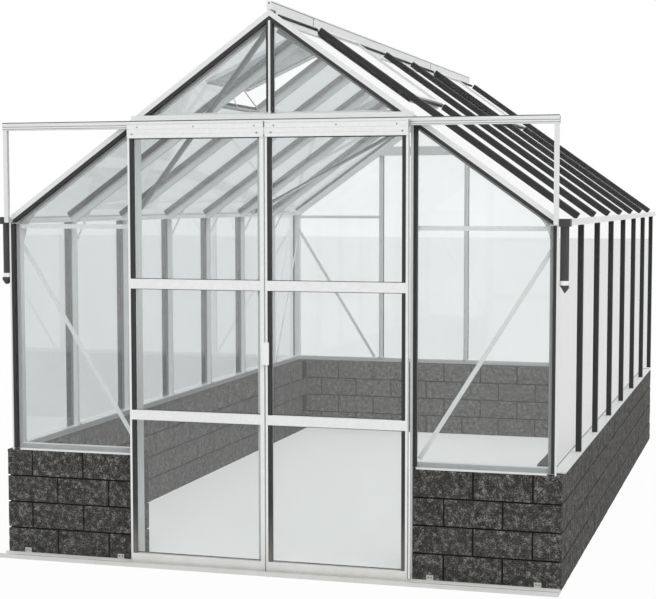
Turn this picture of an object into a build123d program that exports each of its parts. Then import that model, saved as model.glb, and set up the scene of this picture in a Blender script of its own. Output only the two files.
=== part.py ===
from build123d import *
import math
import os

# Glass greenhouse with an aluminium frame on a low block wall, in millimetres.
# X runs across the gable, Y from the door gable to the back, Z up from the ground.
# The origin is on the ground, in the middle of the footprint.

# House
bay_pitch = 628.0
bay_count = 7
half_width = 1285.0
roof_rise = 0.711
ridge_line = 2506.0
wall_height = 496.0
wall_thickness = 150.0
block_joint = 0.3

# Glazing system
glass = 4.0
pane_gap = 12.0
bar_depth = 40.0
plate = 3.0
seat_width = 22.0
inner_flange = 17.0
nose_width = 5.4
cap_width = 26.0
cap_depth = 26.0
cap_slot_depth = 20.0
cap_bevel = 4.0
fit = 0.3
edge_nose = 8.0
edge_cap = 15.0
glass_rest = 8.0
rafter_nose = 22.0

# Sills on the wall
sill_plate = 4.0
sill_height = 27.0
sill_lip = 5.0
sill_lip_height = 9.0

# Eaves
eave_underside = 1561.0
gutter_width = 45.0
gutter_height = 30.0
gutter_wall = 2.5
glass_overhang = 15.0
cap_overhang = 13.0

# Ridge
ridge_half = 11.0
ridge_top = 2544.0
ridge_flange = 26.0
ridge_cap_start = 42.0

# Doorway
post_face = 643.0
post_nose = 12.0
post_to_wall = 2.0
head_bar_low = 2040.0
head_bar_high = 2060.0
mullion_nose = 10.0
mullion_cap = 10.0
eave_bar_low = 1538.0
eave_bar_high = 1558.0

# Back gable
back_post = 630.0
cross_low = 1991.0
cross_high = 2056.0

# Door rail
rail_half = 1290.0
rail_low = 1990.0
rail_height = 32.0
rail_front = 42.0
rail_depth = 30.0
rail_wall = 2.5
rail_slot = 12.0
rail_post = 20.0
rail_post_inner = 1268.0
rail_post_foot = 1566.0
foot_tab = 26.0

# Bottom track
track_front = 110.0
track_half = 1312.0
track_base = 4.0
track_lip = 10.0
track_height = 20.0
track_rib_back = 30.0
clip_width = 32.0
clip_height = 26.0
clip_reach = 24.0
clip_outer = 1210.0
clip_inner = 735.0

# Sliding doors
leaf_outer = 650.0
leaf_gap = 6.0
leaf_front = 74.0
leaf_depth = 26.0
leaf_low = 11.0
leaf_head_low = 1946.0
leaf_head_high = 2016.0
leaf_bottom_rail = 47.0
leaf_mid_rail = 44.0
lower_mid = 674.0
upper_mid = 1271.0
stile_nose = 10.0
meeting_stile = 19.0
leaf_strip = 17.0
head_proud = 4.0
pane_groove = 8.0
wheel_radius = 10.0
wheel_width = 7.0
wheel_offset = 3.0
hanger_plate = 4.0
hanger_width = 40.0
hanger_inset = 90.0
handle_width = 35.0
handle_height = 101.0
handle_low = 942.0
handle_plate = 6.0
handle_standoff = 6.0

# Braces
brace_width = 20.0
brace_plate = 3.0
brace_top = 1487.0
brace_foot = 530.0
knee_drop = 96.0
knee_reach = 79.0

# Roof vents
vent_length = 560.0
vent_frame = 25.0
vent_thickness = 20.0
vent_open_left = 11.0
vent_open_right = 0.0
vent_clear = 2.0
vent_bays = (1, 5)
transom_width = 16.0
transom_depth = 12.0
stay_width = 6.0

# Downpipe
pipe_radius = 17.5
pipe_wall = 2.0
pipe_low = 1329.0
ring_height = 19.0
ring_radius = 19.5
spout_drop = 33.0
collar_wall = 3.0
collar_length = 46.0

# Values worked out from the sizes above
house_length = bay_pitch * bay_count
y_front = (track_front - house_length) / 2
y_back = y_front + house_length
wall_face = half_width + cap_depth
roof_angle = math.degrees(math.atan(roof_rise))
slope_cos = math.cos(math.radians(roof_angle))
slope_sin = math.sin(math.radians(roof_angle))
roof_glass = glass_rest
gutter_outer = half_width + gutter_width
opening_half = post_face + post_nose + post_to_wall
sill_top = wall_height + sill_height
glass_foot = wall_height + sill_plate + fit


def roof_height(x):
    """Height of the outer edge of the gable rafters over the place x."""
    return ridge_line - roof_rise * abs(x)


def under_roof(x, depth):
    """Height of the line that lies depth below the rafters' outer edge, square to the slope."""
    return roof_height(x) - depth / slope_cos


def bar_section(plane):
    """Glazing bar: seat for two panes, web, inner flange and the nose that holds the cap."""
    with BuildSketch(plane) as section:
        with Locations((0, -glass)):
            Rectangle(seat_width, plate, align=(Align.CENTER, Align.MAX))
            Rectangle(plate, bar_depth - glass, align=(Align.CENTER, Align.MAX))
        with Locations((0, -bar_depth)):
            Rectangle(inner_flange, plate, align=(Align.CENTER, Align.MIN))
        with Locations((0, -glass - plate)):
            Rectangle(nose_width, glass + plate + cap_slot_depth - fit, align=(Align.CENTER, Align.MIN))
    return section.sketch


def cap_section(plane):
    """Cap strip that closes over the nose and presses on both panes."""
    with BuildSketch(plane) as section:
        with BuildLine():
            half = cap_width / 2
            Polyline(
                (-half, 0),
                (half, 0),
                (half, cap_depth - cap_bevel),
                (half - cap_bevel, cap_depth),
                (cap_bevel - half, cap_depth),
                (-half, cap_depth - cap_bevel),
                close=True,
            )
        make_face()
        Rectangle(
            nose_width + 2 * fit,
            cap_slot_depth,
            align=(Align.CENTER, Align.MIN),
            mode=Mode.SUBTRACT,
        )
    return section.sketch


def side_plane(y, z):
    """Section plane of an upright side bar, with outwards as its second direction."""
    return Plane(origin=(half_width, y, z), x_dir=(0, -1, 0), z_dir=(0, 0, 1))


def slope_plane(distance, y):
    """Section plane of a roof bar, square to the right slope, at the glass face."""
    x = distance * slope_cos - roof_glass * slope_sin
    z = ridge_line - distance * slope_sin - roof_glass * slope_cos
    return Plane(origin=(x, y, z), x_dir=(0, 1, 0), z_dir=(slope_cos, 0, -slope_sin))


def roof_plane(y, lift):
    """Plane of the right slope: first direction down the slope, second to the back."""
    origin = (lift * slope_sin, y, ridge_line + lift * slope_cos)
    return Plane(origin=origin, x_dir=(slope_cos, 0, -slope_sin), z_dir=(slope_sin, 0, slope_cos))


def box(x_low, x_high, y_low, y_high, z_low, z_high, mode=Mode.ADD):
    """Block between two corners."""
    with Locations((x_low, y_low, z_low)):
        Box(
            x_high - x_low,
            y_high - y_low,
            z_high - z_low,
            align=(Align.MIN, Align.MIN, Align.MIN),
            mode=mode,
        )


def flat_bar(plane, start, end, width, thickness):
    """Flat brace between two points of a plane, its thickness along the plane's normal."""
    run = math.hypot(end[0] - start[0], end[1] - start[1])
    turn = math.degrees(math.atan2(end[1] - start[1], end[0] - start[0]))
    with BuildSketch(plane) as section:
        with Locations(Location((start[0], start[1], 0), (0, 0, turn))):
            Rectangle(run, width, align=(Align.MIN, Align.CENTER))
    extrude(section.sketch, amount=thickness)


def gable_plane(y):
    """Upright plane across the house, facing the front."""
    return Plane(origin=(0, y, 0), x_dir=(1, 0, 0), z_dir=(0, -1, 0))


def cut_above(depth, y_low, y_high):
    """Cut what stands over the line that lies depth below the rafters, between two planes."""
    with BuildSketch(gable_plane(y_high)) as gable:
        with BuildLine():
            Polyline(
                (-half_width, under_roof(half_width, depth)),
                (0, under_roof(0, depth)),
                (half_width, under_roof(half_width, depth)),
                (half_width, 2 * ridge_line),
                (-half_width, 2 * ridge_line),
                close=True,
            )
        make_face()
    extrude(gable.sketch, amount=y_high - y_low, mode=Mode.SUBTRACT)


# Block walls
with BuildPart() as wall_front_right:
    box(opening_half, wall_face, y_front, y_front + wall_thickness, 0, wall_height)

with BuildPart() as wall_front_left:
    mirror(wall_front_right.part, about=Plane.YZ)

with BuildPart() as wall_right:
    box(
        wall_face - wall_thickness,
        wall_face,
        y_front + wall_thickness,
        y_back - wall_thickness,
        0,
        wall_height,
    )

with BuildPart() as wall_left:
    mirror(wall_right.part, about=Plane.YZ)

with BuildPart() as wall_back:
    box(-wall_face, wall_face, y_back - wall_thickness, y_back, 0, wall_height)

# Sills
corner_inner = half_width - bar_depth
gable_seat = cap_depth + glass
gable_inner = cap_depth + bar_depth
post_outer = post_face + post_nose
y_glass = y_front + cap_depth
y_seat = y_front + gable_seat
y_inner = y_front + gable_inner
centre_plane = Plane(origin=(0, (y_front + y_back) / 2, 0), x_dir=(1, 0, 0), z_dir=(0, 1, 0))


def sill_section(plane, lip):
    """Sill seen along its length: first direction outwards from the glass face, second up."""
    with BuildSketch(plane) as section:
        with Locations((-glass, wall_height)):
            Rectangle(glass + cap_depth + lip, sill_plate, align=(Align.MIN, Align.MIN))
            Rectangle(bar_depth - glass, sill_height, align=(Align.MAX, Align.MIN))
        with Locations((cap_depth + lip, wall_height)):
            Rectangle(plate, sill_lip_height, align=(Align.MAX, Align.MIN))
        with Locations((-glass - plate, wall_height + plate)):
            Rectangle(
                bar_depth - glass - 2 * plate,
                sill_height - 2 * plate,
                align=(Align.MAX, Align.MIN),
                mode=Mode.SUBTRACT,
            )
    return section.sketch


def front_sill(x_low, x_high):
    """Sill under the front gable between two places across the house."""
    plane = Plane(origin=(x_high, y_glass, 0), x_dir=(0, -1, 0), z_dir=(-1, 0, 0))
    extrude(sill_section(plane, 0), amount=x_high - x_low)


with BuildPart() as back_sill:
    front_sill(-corner_inner, corner_inner)

with BuildPart() as side_sill:
    side_plane_sill = Plane(origin=(half_width, y_back - gable_inner, 0), x_dir=(1, 0, 0), z_dir=(0, -1, 0))
    extrude(sill_section(side_plane_sill, sill_lip), amount=house_length - 2 * gable_inner)

with BuildPart() as sills:
    add(side_sill.part)
    mirror(side_sill.part, about=Plane.YZ)
    front_sill(post_outer + edge_cap, corner_inner)
    front_sill(-corner_inner, -post_outer - edge_cap)
    mirror(back_sill.part, about=centre_plane)

# Posts
with BuildPart() as corner_post:
    with BuildSketch(Plane.XY.offset(wall_height)) as hollow:
        with Locations((corner_inner, y_seat)):
            Rectangle(bar_depth - glass, bar_depth - glass, align=(Align.MIN, Align.MIN))
        with Locations((corner_inner + plate, y_seat + plate)):
            Rectangle(
                bar_depth - glass - 2 * plate,
                bar_depth - glass - 2 * plate,
                align=(Align.MIN, Align.MIN),
                mode=Mode.SUBTRACT,
            )
        with Locations((half_width - edge_nose, y_front)):
            Rectangle(edge_nose - glass, gable_seat, align=(Align.MIN, Align.MIN))
    extrude(hollow.sketch, amount=eave_underside - wall_height)
    box(
        half_width - edge_nose,
        half_width,
        y_front,
        y_front + edge_nose,
        wall_height,
        eave_underside + plate,
    )

with BuildPart() as corner_posts:
    add(corner_post.part)
    mirror(corner_post.part, about=Plane.YZ)
    back_post_pair = mirror(corner_post.part, about=centre_plane)
    mirror(back_post_pair, about=Plane.YZ)

with BuildPart() as door_posts:
    post_top = roof_height(post_face)
    box(post_face, post_outer, y_front, y_inner, 0, post_top)
    box(
        post_face + plate,
        post_outer - plate,
        y_seat + plate,
        y_inner - plate,
        0,
        post_top,
        Mode.SUBTRACT,
    )
    box(post_outer, post_outer + edge_cap, y_seat, y_seat + plate, wall_height, post_top)
    cut_above(rafter_nose + edge_cap, y_front, y_seat)
    cut_above(glass_rest + bar_depth, y_seat, y_inner)
    mirror(about=Plane.YZ)


# Rafters
def rafter_section(plane, nose_top):
    """Gable rafter: first direction from the gable face inwards, second square to the slope."""
    seat = -glass_rest - glass
    lowest = -glass_rest - bar_depth
    with BuildSketch(plane) as section:
        with Locations((0, nose_top)):
            Rectangle(edge_nose, rafter_nose + nose_top, align=(Align.MIN, Align.MAX))
        with Locations((edge_nose, seat)):
            Rectangle(gable_seat - edge_nose, plate, align=(Align.MIN, Align.MAX))
        with Locations((edge_nose, -rafter_nose)):
            Rectangle(gable_seat - edge_nose, plate, align=(Align.MIN, Align.MIN))
        with Locations((gable_seat, seat)):
            Rectangle(gable_inner - gable_seat, seat - lowest, align=(Align.MIN, Align.MAX))
        with Locations((gable_seat + plate, seat - plate)):
            Rectangle(
                gable_inner - gable_seat - 2 * plate,
                seat - lowest - 2 * plate,
                align=(Align.MIN, Align.MAX),
                mode=Mode.SUBTRACT,
            )
    return section.sketch


gutter_inner = half_width - edge_nose - plate
eave_floor = eave_underside + plate
beyond = 4 * bar_depth
rafter_depth = glass_rest + bar_depth
strip_depth = rafter_nose + edge_cap


def trim_eave(x_limit):
    """Cut what runs past the eave or below the gutter's plate on the right."""
    y_low = y_front - beyond
    y_high = y_back + beyond
    box(x_limit, x_limit + beyond, y_low, y_high, wall_height, ridge_line, Mode.SUBTRACT)
    box(half_width - beyond, x_limit, y_low, y_high, eave_floor - beyond, eave_floor, Mode.SUBTRACT)


def trim_ridge(x_limit):
    """Cut what runs past an upright plane beside the ridge on the right."""
    box(
        x_limit - 2 * beyond,
        x_limit,
        y_front - beyond,
        y_back + beyond,
        ridge_line - 2 * beyond,
        ridge_line + 2 * beyond,
        Mode.SUBTRACT,
    )


def along_rafter(section_of, *options):
    """Run a section along the right rafter of the front, from past the ridge to past the eave."""
    plane = Plane(
        origin=(-beyond * slope_cos, y_front, ridge_line + beyond * slope_sin),
        x_dir=(0, 1, 0),
        z_dir=(slope_cos, 0, -slope_sin),
    )
    extrude(section_of(plane, *options), amount=2 * beyond + half_width / slope_cos)


with BuildPart() as rafter_front:
    along_rafter(rafter_section, 0)
    trim_eave(gutter_inner)
    trim_ridge(fit / 2)

with BuildPart() as rafter_back:
    along_rafter(rafter_section, -glass_rest)
    trim_eave(gutter_inner)
    trim_ridge(fit / 2)

with BuildPart() as rafters:
    add(rafter_front.part)
    mirror(rafter_front.part, about=Plane.YZ)
    back_rafter = mirror(rafter_back.part, about=centre_plane)
    mirror(back_rafter, about=Plane.YZ)

# Bars of the gables, first as they stand at the front
mullion_half = mullion_nose / 2
strip_reach = mullion_half + mullion_cap


def gable_bar(x, z_low):
    """Upright glazing bar of a gable, with its nose between two cap strips."""
    box(x - strip_reach, x + strip_reach, y_seat, y_seat + plate, z_low, ridge_line)
    box(x - plate / 2, x + plate / 2, y_seat, y_inner, z_low, ridge_line)
    box(x - mullion_half, x + mullion_half, y_front, y_seat, z_low, ridge_line)


def cross_bar(x_low, x_high, z_low, z_high):
    """Hollow bar across a gable, behind the seats of the upright bars."""
    box(x_low, x_high, y_seat + plate, y_inner, z_low, z_high)
    box(
        x_low,
        x_high,
        y_seat + 2 * plate,
        y_inner - plate,
        z_low + plate,
        z_high - plate,
        Mode.SUBTRACT,
    )


def trim_gable():
    """Let the bars end at the rafters, and their noses at the rafters' cap strips."""
    cut_above(strip_depth, y_front, y_seat)
    cut_above(rafter_depth, y_seat, y_inner)


with BuildPart() as gable_bars_front:
    gable_bar(0, head_bar_low)
    cross_bar(-post_face, post_face, head_bar_low, head_bar_high)
    cross_bar(post_outer, corner_inner, eave_bar_low, eave_bar_high)
    cross_bar(-corner_inner, -post_outer, eave_bar_low, eave_bar_high)
    trim_gable()

with BuildPart() as back_bars:
    gable_bar(0, sill_top)
    gable_bar(back_post, sill_top)
    gable_bar(-back_post, sill_top)
    cross_bar(-back_post, back_post, cross_low, cross_high)
    cross_bar(back_post, corner_inner, eave_bar_low, eave_bar_high)
    cross_bar(-corner_inner, -back_post, eave_bar_low, eave_bar_high)
    trim_gable()

with BuildPart() as gable_bars_back:
    mirror(back_bars.part, about=centre_plane)

# Upright bars of the sides
bar_places = [y_front + bay_pitch * (i + 1) for i in range(bay_count - 1)]

with BuildPart() as side_bars_right:
    for y in bar_places:
        extrude(bar_section(side_plane(y, sill_top)), amount=eave_underside - sill_top)

with BuildPart() as side_bars_left:
    mirror(side_bars_right.part, about=Plane.YZ)

# Roof bars, whose noses stop short of the ridge's flanges
slope_run = half_width / slope_cos
flange_end = ridge_half + ridge_flange * slope_cos
nose_start = (flange_end + plate + roof_glass * slope_sin) / slope_cos

with BuildPart() as roof_bars_right:
    for y in bar_places:
        extrude(bar_section(slope_plane(0, y)), amount=slope_run + beyond)
    with BuildSketch(roof_plane(0, -roof_glass)) as nose_stop:
        with Locations((nose_start, y_front)):
            Rectangle(beyond, house_length, align=(Align.MAX, Align.MIN))
    extrude(nose_stop.sketch, amount=cap_depth, mode=Mode.SUBTRACT)
    trim_eave(gutter_inner)
    trim_ridge(ridge_half)

with BuildPart() as roof_bars_left:
    mirror(roof_bars_right.part, about=Plane.YZ)

# Ridge: a hollow beam between the rafters, a crest over the whole house, a flange over each slope
ridge_foot = under_roof(ridge_half, rafter_depth)
flange_top = roof_glass - fit - plate

with BuildPart() as ridge:
    with BuildSketch(gable_plane(y_back)) as crest:
        with Locations((0, ridge_line)):
            Rectangle(2 * ridge_half, ridge_top - ridge_line, align=(Align.CENTER, Align.MIN))
    extrude(crest.sketch, amount=house_length)
    with BuildSketch(gable_plane(y_back - gable_inner)) as beam:
        with Locations((0, ridge_foot)):
            Rectangle(2 * ridge_half, ridge_line - ridge_foot, align=(Align.CENTER, Align.MIN))
        with Locations((0, ridge_foot + plate)):
            Rectangle(
                2 * (ridge_half - plate),
                ridge_line - ridge_foot - 2 * plate,
                align=(Align.CENTER, Align.MIN),
                mode=Mode.SUBTRACT,
            )
        with BuildLine():
            Polyline(
                (ridge_half, under_roof(ridge_half, flange_top)),
                (flange_end, under_roof(flange_end, flange_top)),
                (flange_end, under_roof(flange_end, flange_top + plate)),
                (ridge_half, under_roof(ridge_half, flange_top + plate)),
                close=True,
            )
        make_face()
        mirror(about=Plane.YZ)
    extrude(beam.sketch, amount=house_length - 2 * gable_inner)

# Gutters, each one section with the eave bar that carries the roof
eave_post_line = under_roof(gutter_inner + plate, roof_glass + glass + fit)

with BuildPart() as gutter_right:
    with BuildSketch(gable_plane(y_back - edge_nose)) as gutter_section:
        with Locations((corner_inner, eave_underside)):
            Rectangle(gutter_outer - corner_inner, plate, align=(Align.MIN, Align.MIN))
        with Locations((gutter_inner, eave_underside)):
            Rectangle(plate, eave_post_line - eave_underside, align=(Align.MIN, Align.MIN))
        with Locations((gutter_outer, eave_underside)):
            Rectangle(gutter_wall, gutter_height, align=(Align.MAX, Align.MIN))
    extrude(gutter_section.sketch, amount=house_length - 2 * edge_nose)

with BuildPart() as gutter_left:
    mirror(gutter_right.part, about=Plane.YZ)

# Downpipes at the front corners, with the end caps of the gutters
pipe_x = half_width + gutter_width / 2
pipe_y = y_front + pipe_radius + plate
collar_low = eave_underside - plate
collar_face = half_width + fit
collar_outer = gutter_outer + collar_wall
collar_top = eave_underside + gutter_height

with BuildPart() as downpipes:
    box(collar_face, collar_outer, y_front - plate, y_front + collar_length, collar_low, collar_top)
    box(
        collar_face - plate,
        gutter_outer + fit,
        y_front + edge_nose - fit,
        y_front + collar_length + plate,
        eave_underside - fit,
        collar_top + plate,
        Mode.SUBTRACT,
    )
    with Locations((pipe_x, pipe_y, collar_low)):
        Cylinder(pipe_radius, collar_low - pipe_low, align=(Align.CENTER, Align.CENTER, Align.MAX))
        Cylinder(
            pipe_radius - pipe_wall,
            collar_low - pipe_low,
            align=(Align.CENTER, Align.CENTER, Align.MAX),
            mode=Mode.SUBTRACT,
        )
    mirror(about=Plane.YZ)

with BuildPart() as pipe_rings:
    with Locations((pipe_x, pipe_y, pipe_low)):
        Cylinder(ring_radius, ring_height, align=(Align.CENTER, Align.CENTER, Align.MAX))
    mirror(about=Plane.YZ)

ring_low = pipe_low - ring_height

with BuildPart() as pipe_spouts:
    with BuildSketch(gable_plane(pipe_y + pipe_radius)) as spout:
        with BuildLine():
            Polyline(
                (pipe_x - pipe_radius, ring_low),
                (pipe_x + pipe_radius, ring_low),
                (pipe_x + ring_radius, ring_low - spout_drop / 3),
                (pipe_x + pipe_radius / 6, ring_low - spout_drop),
                close=True,
            )
        make_face()
    extrude(spout.sketch, amount=2 * pipe_radius)
    mirror(about=Plane.YZ)

# Braces, flat bars against the inner faces of the posts and bars
brace_top_x = half_width - edge_nose - brace_width / 2
brace_foot_x = post_outer + edge_cap
y_last_bar = bar_places[-1]
y_corner = y_back - gable_inner + brace_width

with BuildPart() as gable_brace:
    flat_bar(
        gable_plane(y_inner + brace_plate),
        (brace_top_x, brace_top),
        (brace_foot_x, brace_foot),
        brace_width,
        brace_plate,
    )

with BuildPart() as side_brace:
    flat_bar(
        Plane(origin=(corner_inner, 0, 0), x_dir=(0, -1, 0), z_dir=(-1, 0, 0)),
        (-y_corner, brace_top),
        (-y_last_bar, brace_foot),
        brace_width,
        brace_plate,
    )

with BuildPart() as wall_braces:
    add(gable_brace.part)
    mirror(gable_brace.part, about=Plane.YZ)
    back_brace = mirror(gable_brace.part, about=centre_plane)
    mirror(back_brace, about=Plane.YZ)
    add(side_brace.part)
    mirror(side_brace.part, about=Plane.YZ)

brace_lift = -rafter_depth - brace_plate
slope_end = corner_inner / slope_cos
slope_start = ridge_half / slope_cos

with BuildPart() as roof_brace:
    flat_bar(
        roof_plane(0, brace_lift),
        (slope_start + 3 * brace_width, y_inner - brace_width),
        (slope_end - brace_width, bar_places[1] - inner_flange / 2 - plate),
        brace_width,
        brace_plate,
    )
    flat_bar(
        roof_plane(0, brace_lift),
        (slope_start + 3 * brace_width, y_back - gable_inner + brace_width),
        (slope_end - brace_width, bar_places[-2] + inner_flange / 2 + plate),
        brace_width,
        brace_plate,
    )

with BuildPart() as roof_braces:
    add(roof_brace.part)
    mirror(roof_brace.part, about=Plane.YZ)

# Knee braces from each side bar to its roof bar
knee_low = eave_underside - knee_drop
knee_x = corner_inner - knee_reach
knee_high = under_roof(knee_x, rafter_depth)

with BuildPart() as knee_right:
    for y in bar_places:
        with BuildSketch(gable_plane(y + inner_flange / 2)) as knee:
            with BuildLine():
                Polyline(
                    (corner_inner, knee_low),
                    (corner_inner, knee_low + brace_width),
                    (knee_x + brace_width, under_roof(knee_x + brace_width, rafter_depth)),
                    (knee_x, knee_high),
                    close=True,
                )
            make_face()
        extrude(knee.sketch, amount=brace_plate)

with BuildPart() as knee_braces:
    add(knee_right.part)
    mirror(knee_right.part, about=Plane.YZ)

# Cap strips of the sides and the roof
cap_foot = wall_height + sill_lip_height
side_cap_height = eave_underside - cap_foot - plate
rear_cap = y_back - cap_width / 2
cap_places = bar_places + [rear_cap]

with BuildPart() as side_caps:
    for y in cap_places:
        extrude(cap_section(side_plane(y, cap_foot)), amount=side_cap_height)
    mirror(about=Plane.YZ)

cap_start = ridge_cap_start / slope_cos
cap_end = (half_width + cap_overhang) / slope_cos
vent_top = (flange_end + vent_clear + roof_glass * slope_sin) / slope_cos
vent_end = vent_top + vent_length

with BuildPart() as roof_caps:
    for i, y in enumerate(cap_places):
        start = vent_end + vent_clear + transom_width if i in vent_bays else cap_start
        extrude(cap_section(slope_plane(start, y)), amount=cap_end - start - cap_depth * roof_rise)
    mirror(about=Plane.YZ)


# Cap strips of the gables, between the noses and the panes
def gable_strip(x_low, x_high, z_low):
    """Upright strip on one side of a nose, its foot at z_low and its head left to the cut."""
    z_high = eave_underside if x_high > gutter_inner else ridge_line
    box(x_low, x_high, y_front, y_glass, z_low, z_high)


def strip_section(plane, depth):
    """Section of the strip under the rafter's nose."""
    with BuildSketch(plane) as section:
        with Locations((0, -rafter_nose)):
            Rectangle(cap_depth, depth, align=(Align.MIN, Align.MAX))
    return section.sketch


with BuildPart() as slope_strips:
    along_rafter(strip_section, edge_cap)
    trim_ridge(0)
    trim_eave(gutter_inner)
    mirror(about=Plane.YZ)

with BuildPart() as front_strips:
    gable_strip(post_outer, post_outer + edge_cap, cap_foot)
    gable_strip(half_width - edge_nose - edge_cap, half_width - edge_nose, cap_foot)
    gable_strip(mullion_half, mullion_half + mullion_cap, head_bar_high)
    cut_above(strip_depth, y_front, y_glass)
    mirror(about=Plane.YZ)

with BuildPart() as back_strips:
    gable_strip(half_width - edge_nose - edge_cap, half_width - edge_nose, cap_foot)
    gable_strip(back_post + mullion_half, back_post + mullion_half + mullion_cap, cap_foot)
    gable_strip(back_post - mullion_half - mullion_cap, back_post - mullion_half, cap_foot)
    gable_strip(mullion_half, mullion_half + mullion_cap, cap_foot)
    cut_above(strip_depth, y_front, y_glass)
    mirror(about=Plane.YZ)

with BuildPart() as gable_caps:
    add(slope_strips.part)
    add(front_strips.part)
    mirror(slope_strips.part, about=centre_plane)
    mirror(back_strips.part, about=centre_plane)


# Panes
def gable_pane(x_low, x_high, z_low):
    """Pane of a gable from z_low up to the rafters, notched under the gutter."""
    box(x_low, x_high, y_glass, y_seat, z_low, ridge_line)
    box(corner_inner, half_width, y_glass, y_seat, eave_underside - fit, ridge_line, Mode.SUBTRACT)


pane_depth = rafter_nose + fit
edge_gap = pane_gap / 2
corner_pane = half_width - edge_nose - fit
post_pane = post_outer + fit
mullion_pane = mullion_half + fit

with BuildPart() as front_panes:
    gable_pane(post_pane, corner_pane, glass_foot)
    gable_pane(mullion_pane, post_face - fit, head_bar_low)
    cut_above(pane_depth, y_glass, y_seat)

with BuildPart() as glass_front:
    add(front_panes.part)
    mirror(front_panes.part, about=Plane.YZ)

with BuildPart() as back_panes:
    gable_pane(mullion_pane, back_post - mullion_pane, glass_foot)
    gable_pane(back_post + mullion_pane, corner_pane, glass_foot)
    cut_above(pane_depth, y_glass, y_seat)
    mirror(about=Plane.YZ)

with BuildPart() as glass_back:
    mirror(back_panes.part, about=centre_plane)

pane_lines = [y_front] + bar_places + [y_back]


def bay_span(i):
    """Both edges of the panes in bay i along the house."""
    low = pane_lines[i] + (edge_nose + fit if i == 0 else edge_gap)
    high = pane_lines[i + 1] - (edge_nose + fit if i == bay_count - 1 else edge_gap)
    return low, high


with BuildPart() as glass_right:
    for i in range(bay_count):
        low, high = bay_span(i)
        box(half_width - glass, half_width, low, high, glass_foot, eave_underside - fit)

with BuildPart() as glass_left:
    mirror(glass_right.part, about=Plane.YZ)

pane_top = (ridge_half + fit + (roof_glass + glass) * slope_sin) / slope_cos
pane_end = (half_width + glass_overhang) / slope_cos
transom_start = vent_end + vent_clear


def slope_panes(plane, bays):
    """Panes of one slope, those under a vent cut short at its transom."""
    for i in bays:
        low, high = bay_span(i)
        top = transom_start + transom_width / 2 if i in vent_bays else pane_top
        with BuildSketch(plane) as pane:
            with Locations((top, low)):
                Rectangle(pane_end - top, high - low, align=(Align.MIN, Align.MIN))
        extrude(pane.sketch, amount=glass)


with BuildPart() as glass_roof_right:
    slope_panes(roof_plane(0, -roof_glass - glass), range(bay_count))

with BuildPart() as glass_roof_left:
    mirror(glass_roof_right.part, about=Plane.YZ)


# Roof vents
def vent_plane(opening):
    """Plane of a right vent, turned up about its upper edge by the opening angle."""
    closed = roof_plane(0, fit - roof_glass)
    hinge = closed.from_local_coords((vent_top, 0, 0))
    swing = math.radians(roof_angle - opening)
    return Plane(
        origin=hinge,
        x_dir=(math.cos(swing), 0, -math.sin(swing)),
        z_dir=(math.sin(swing), 0, math.cos(swing)),
    )


def vent_edges(i):
    """Both edges of the vent in bay i, clear of the cap before it and the nose behind it."""
    low = pane_lines[i] + cap_width / 2 + vent_clear
    high = pane_lines[i + 1] - nose_width / 2 - vent_clear
    return low, high


def vent_frames_at(opening):
    """Frames of the vents of the right slope."""
    plane = vent_plane(opening)
    for i in vent_bays:
        low, high = vent_edges(i)
        with BuildSketch(plane) as frame:
            with Locations((0, low)):
                Rectangle(vent_length, high - low, align=(Align.MIN, Align.MIN))
            with Locations((vent_frame, low + vent_frame)):
                Rectangle(
                    vent_length - 2 * vent_frame,
                    high - low - 2 * vent_frame,
                    align=(Align.MIN, Align.MIN),
                    mode=Mode.SUBTRACT,
                )
        extrude(frame.sketch, amount=vent_thickness)


def vent_panes_at(opening):
    """Panes inside the vents' frames."""
    middle = vent_plane(opening).offset(vent_thickness / 2)
    for i in vent_bays:
        low, high = vent_edges(i)
        with BuildSketch(middle) as pane:
            with Locations((vent_frame, low + vent_frame)):
                Rectangle(
                    vent_length - 2 * vent_frame,
                    high - low - 2 * vent_frame,
                    align=(Align.MIN, Align.MIN),
                )
        extrude(pane.sketch, amount=glass)


with BuildPart() as left_vents:
    vent_frames_at(vent_open_left)

with BuildPart() as vent_frames:
    vent_frames_at(vent_open_right)
    mirror(left_vents.part, about=Plane.YZ)

with BuildPart() as left_vent_panes:
    vent_panes_at(vent_open_left)

with BuildPart() as vent_glass:
    vent_panes_at(vent_open_right)
    mirror(left_vent_panes.part, about=Plane.YZ)

seat_edge = seat_width / 2

with BuildPart() as transoms_right:
    for i in vent_bays:
        with BuildSketch(roof_plane(0, -roof_glass - glass)) as transom:
            with Locations((transom_start, pane_lines[i] + seat_edge)):
                Rectangle(transom_width, bay_pitch - seat_width, align=(Align.MIN, Align.MIN))
        extrude(transom.sketch, amount=-transom_depth)

stay_angle = math.radians(roof_angle - vent_open_left)
hinge_x = vent_top * slope_cos - (roof_glass - fit) * slope_sin
hinge_z = ridge_line - vent_top * slope_sin - (roof_glass - fit) * slope_cos
stay_top = (
    hinge_x + (vent_length - stay_width) * math.cos(stay_angle),
    hinge_z - (vent_length - stay_width) * math.sin(stay_angle),
)
stay_foot = transom_start + transom_width / 4
transom_x = stay_foot * slope_cos - (roof_glass + glass) * slope_sin
transom_z = ridge_line - stay_foot * slope_sin - (roof_glass + glass) * slope_cos

with BuildPart() as stays_right:
    for i in vent_bays:
        middle = (pane_lines[i] + pane_lines[i + 1]) / 2
        with BuildSketch(gable_plane(middle + stay_width / 2)) as stay:
            with BuildLine():
                Polyline(
                    stay_top,
                    (stay_top[0] - stay_width, stay_top[1] + stay_width * math.tan(stay_angle)),
                    (transom_x - stay_width / 2, transom_z + stay_width / 2 * roof_rise),
                    (transom_x + stay_width / 2, transom_z - stay_width / 2 * roof_rise),
                    close=True,
                )
            make_face()
        extrude(stay.sketch, amount=stay_width)

with BuildPart() as vent_stays:
    mirror(stays_right.part, about=Plane.YZ)

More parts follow.
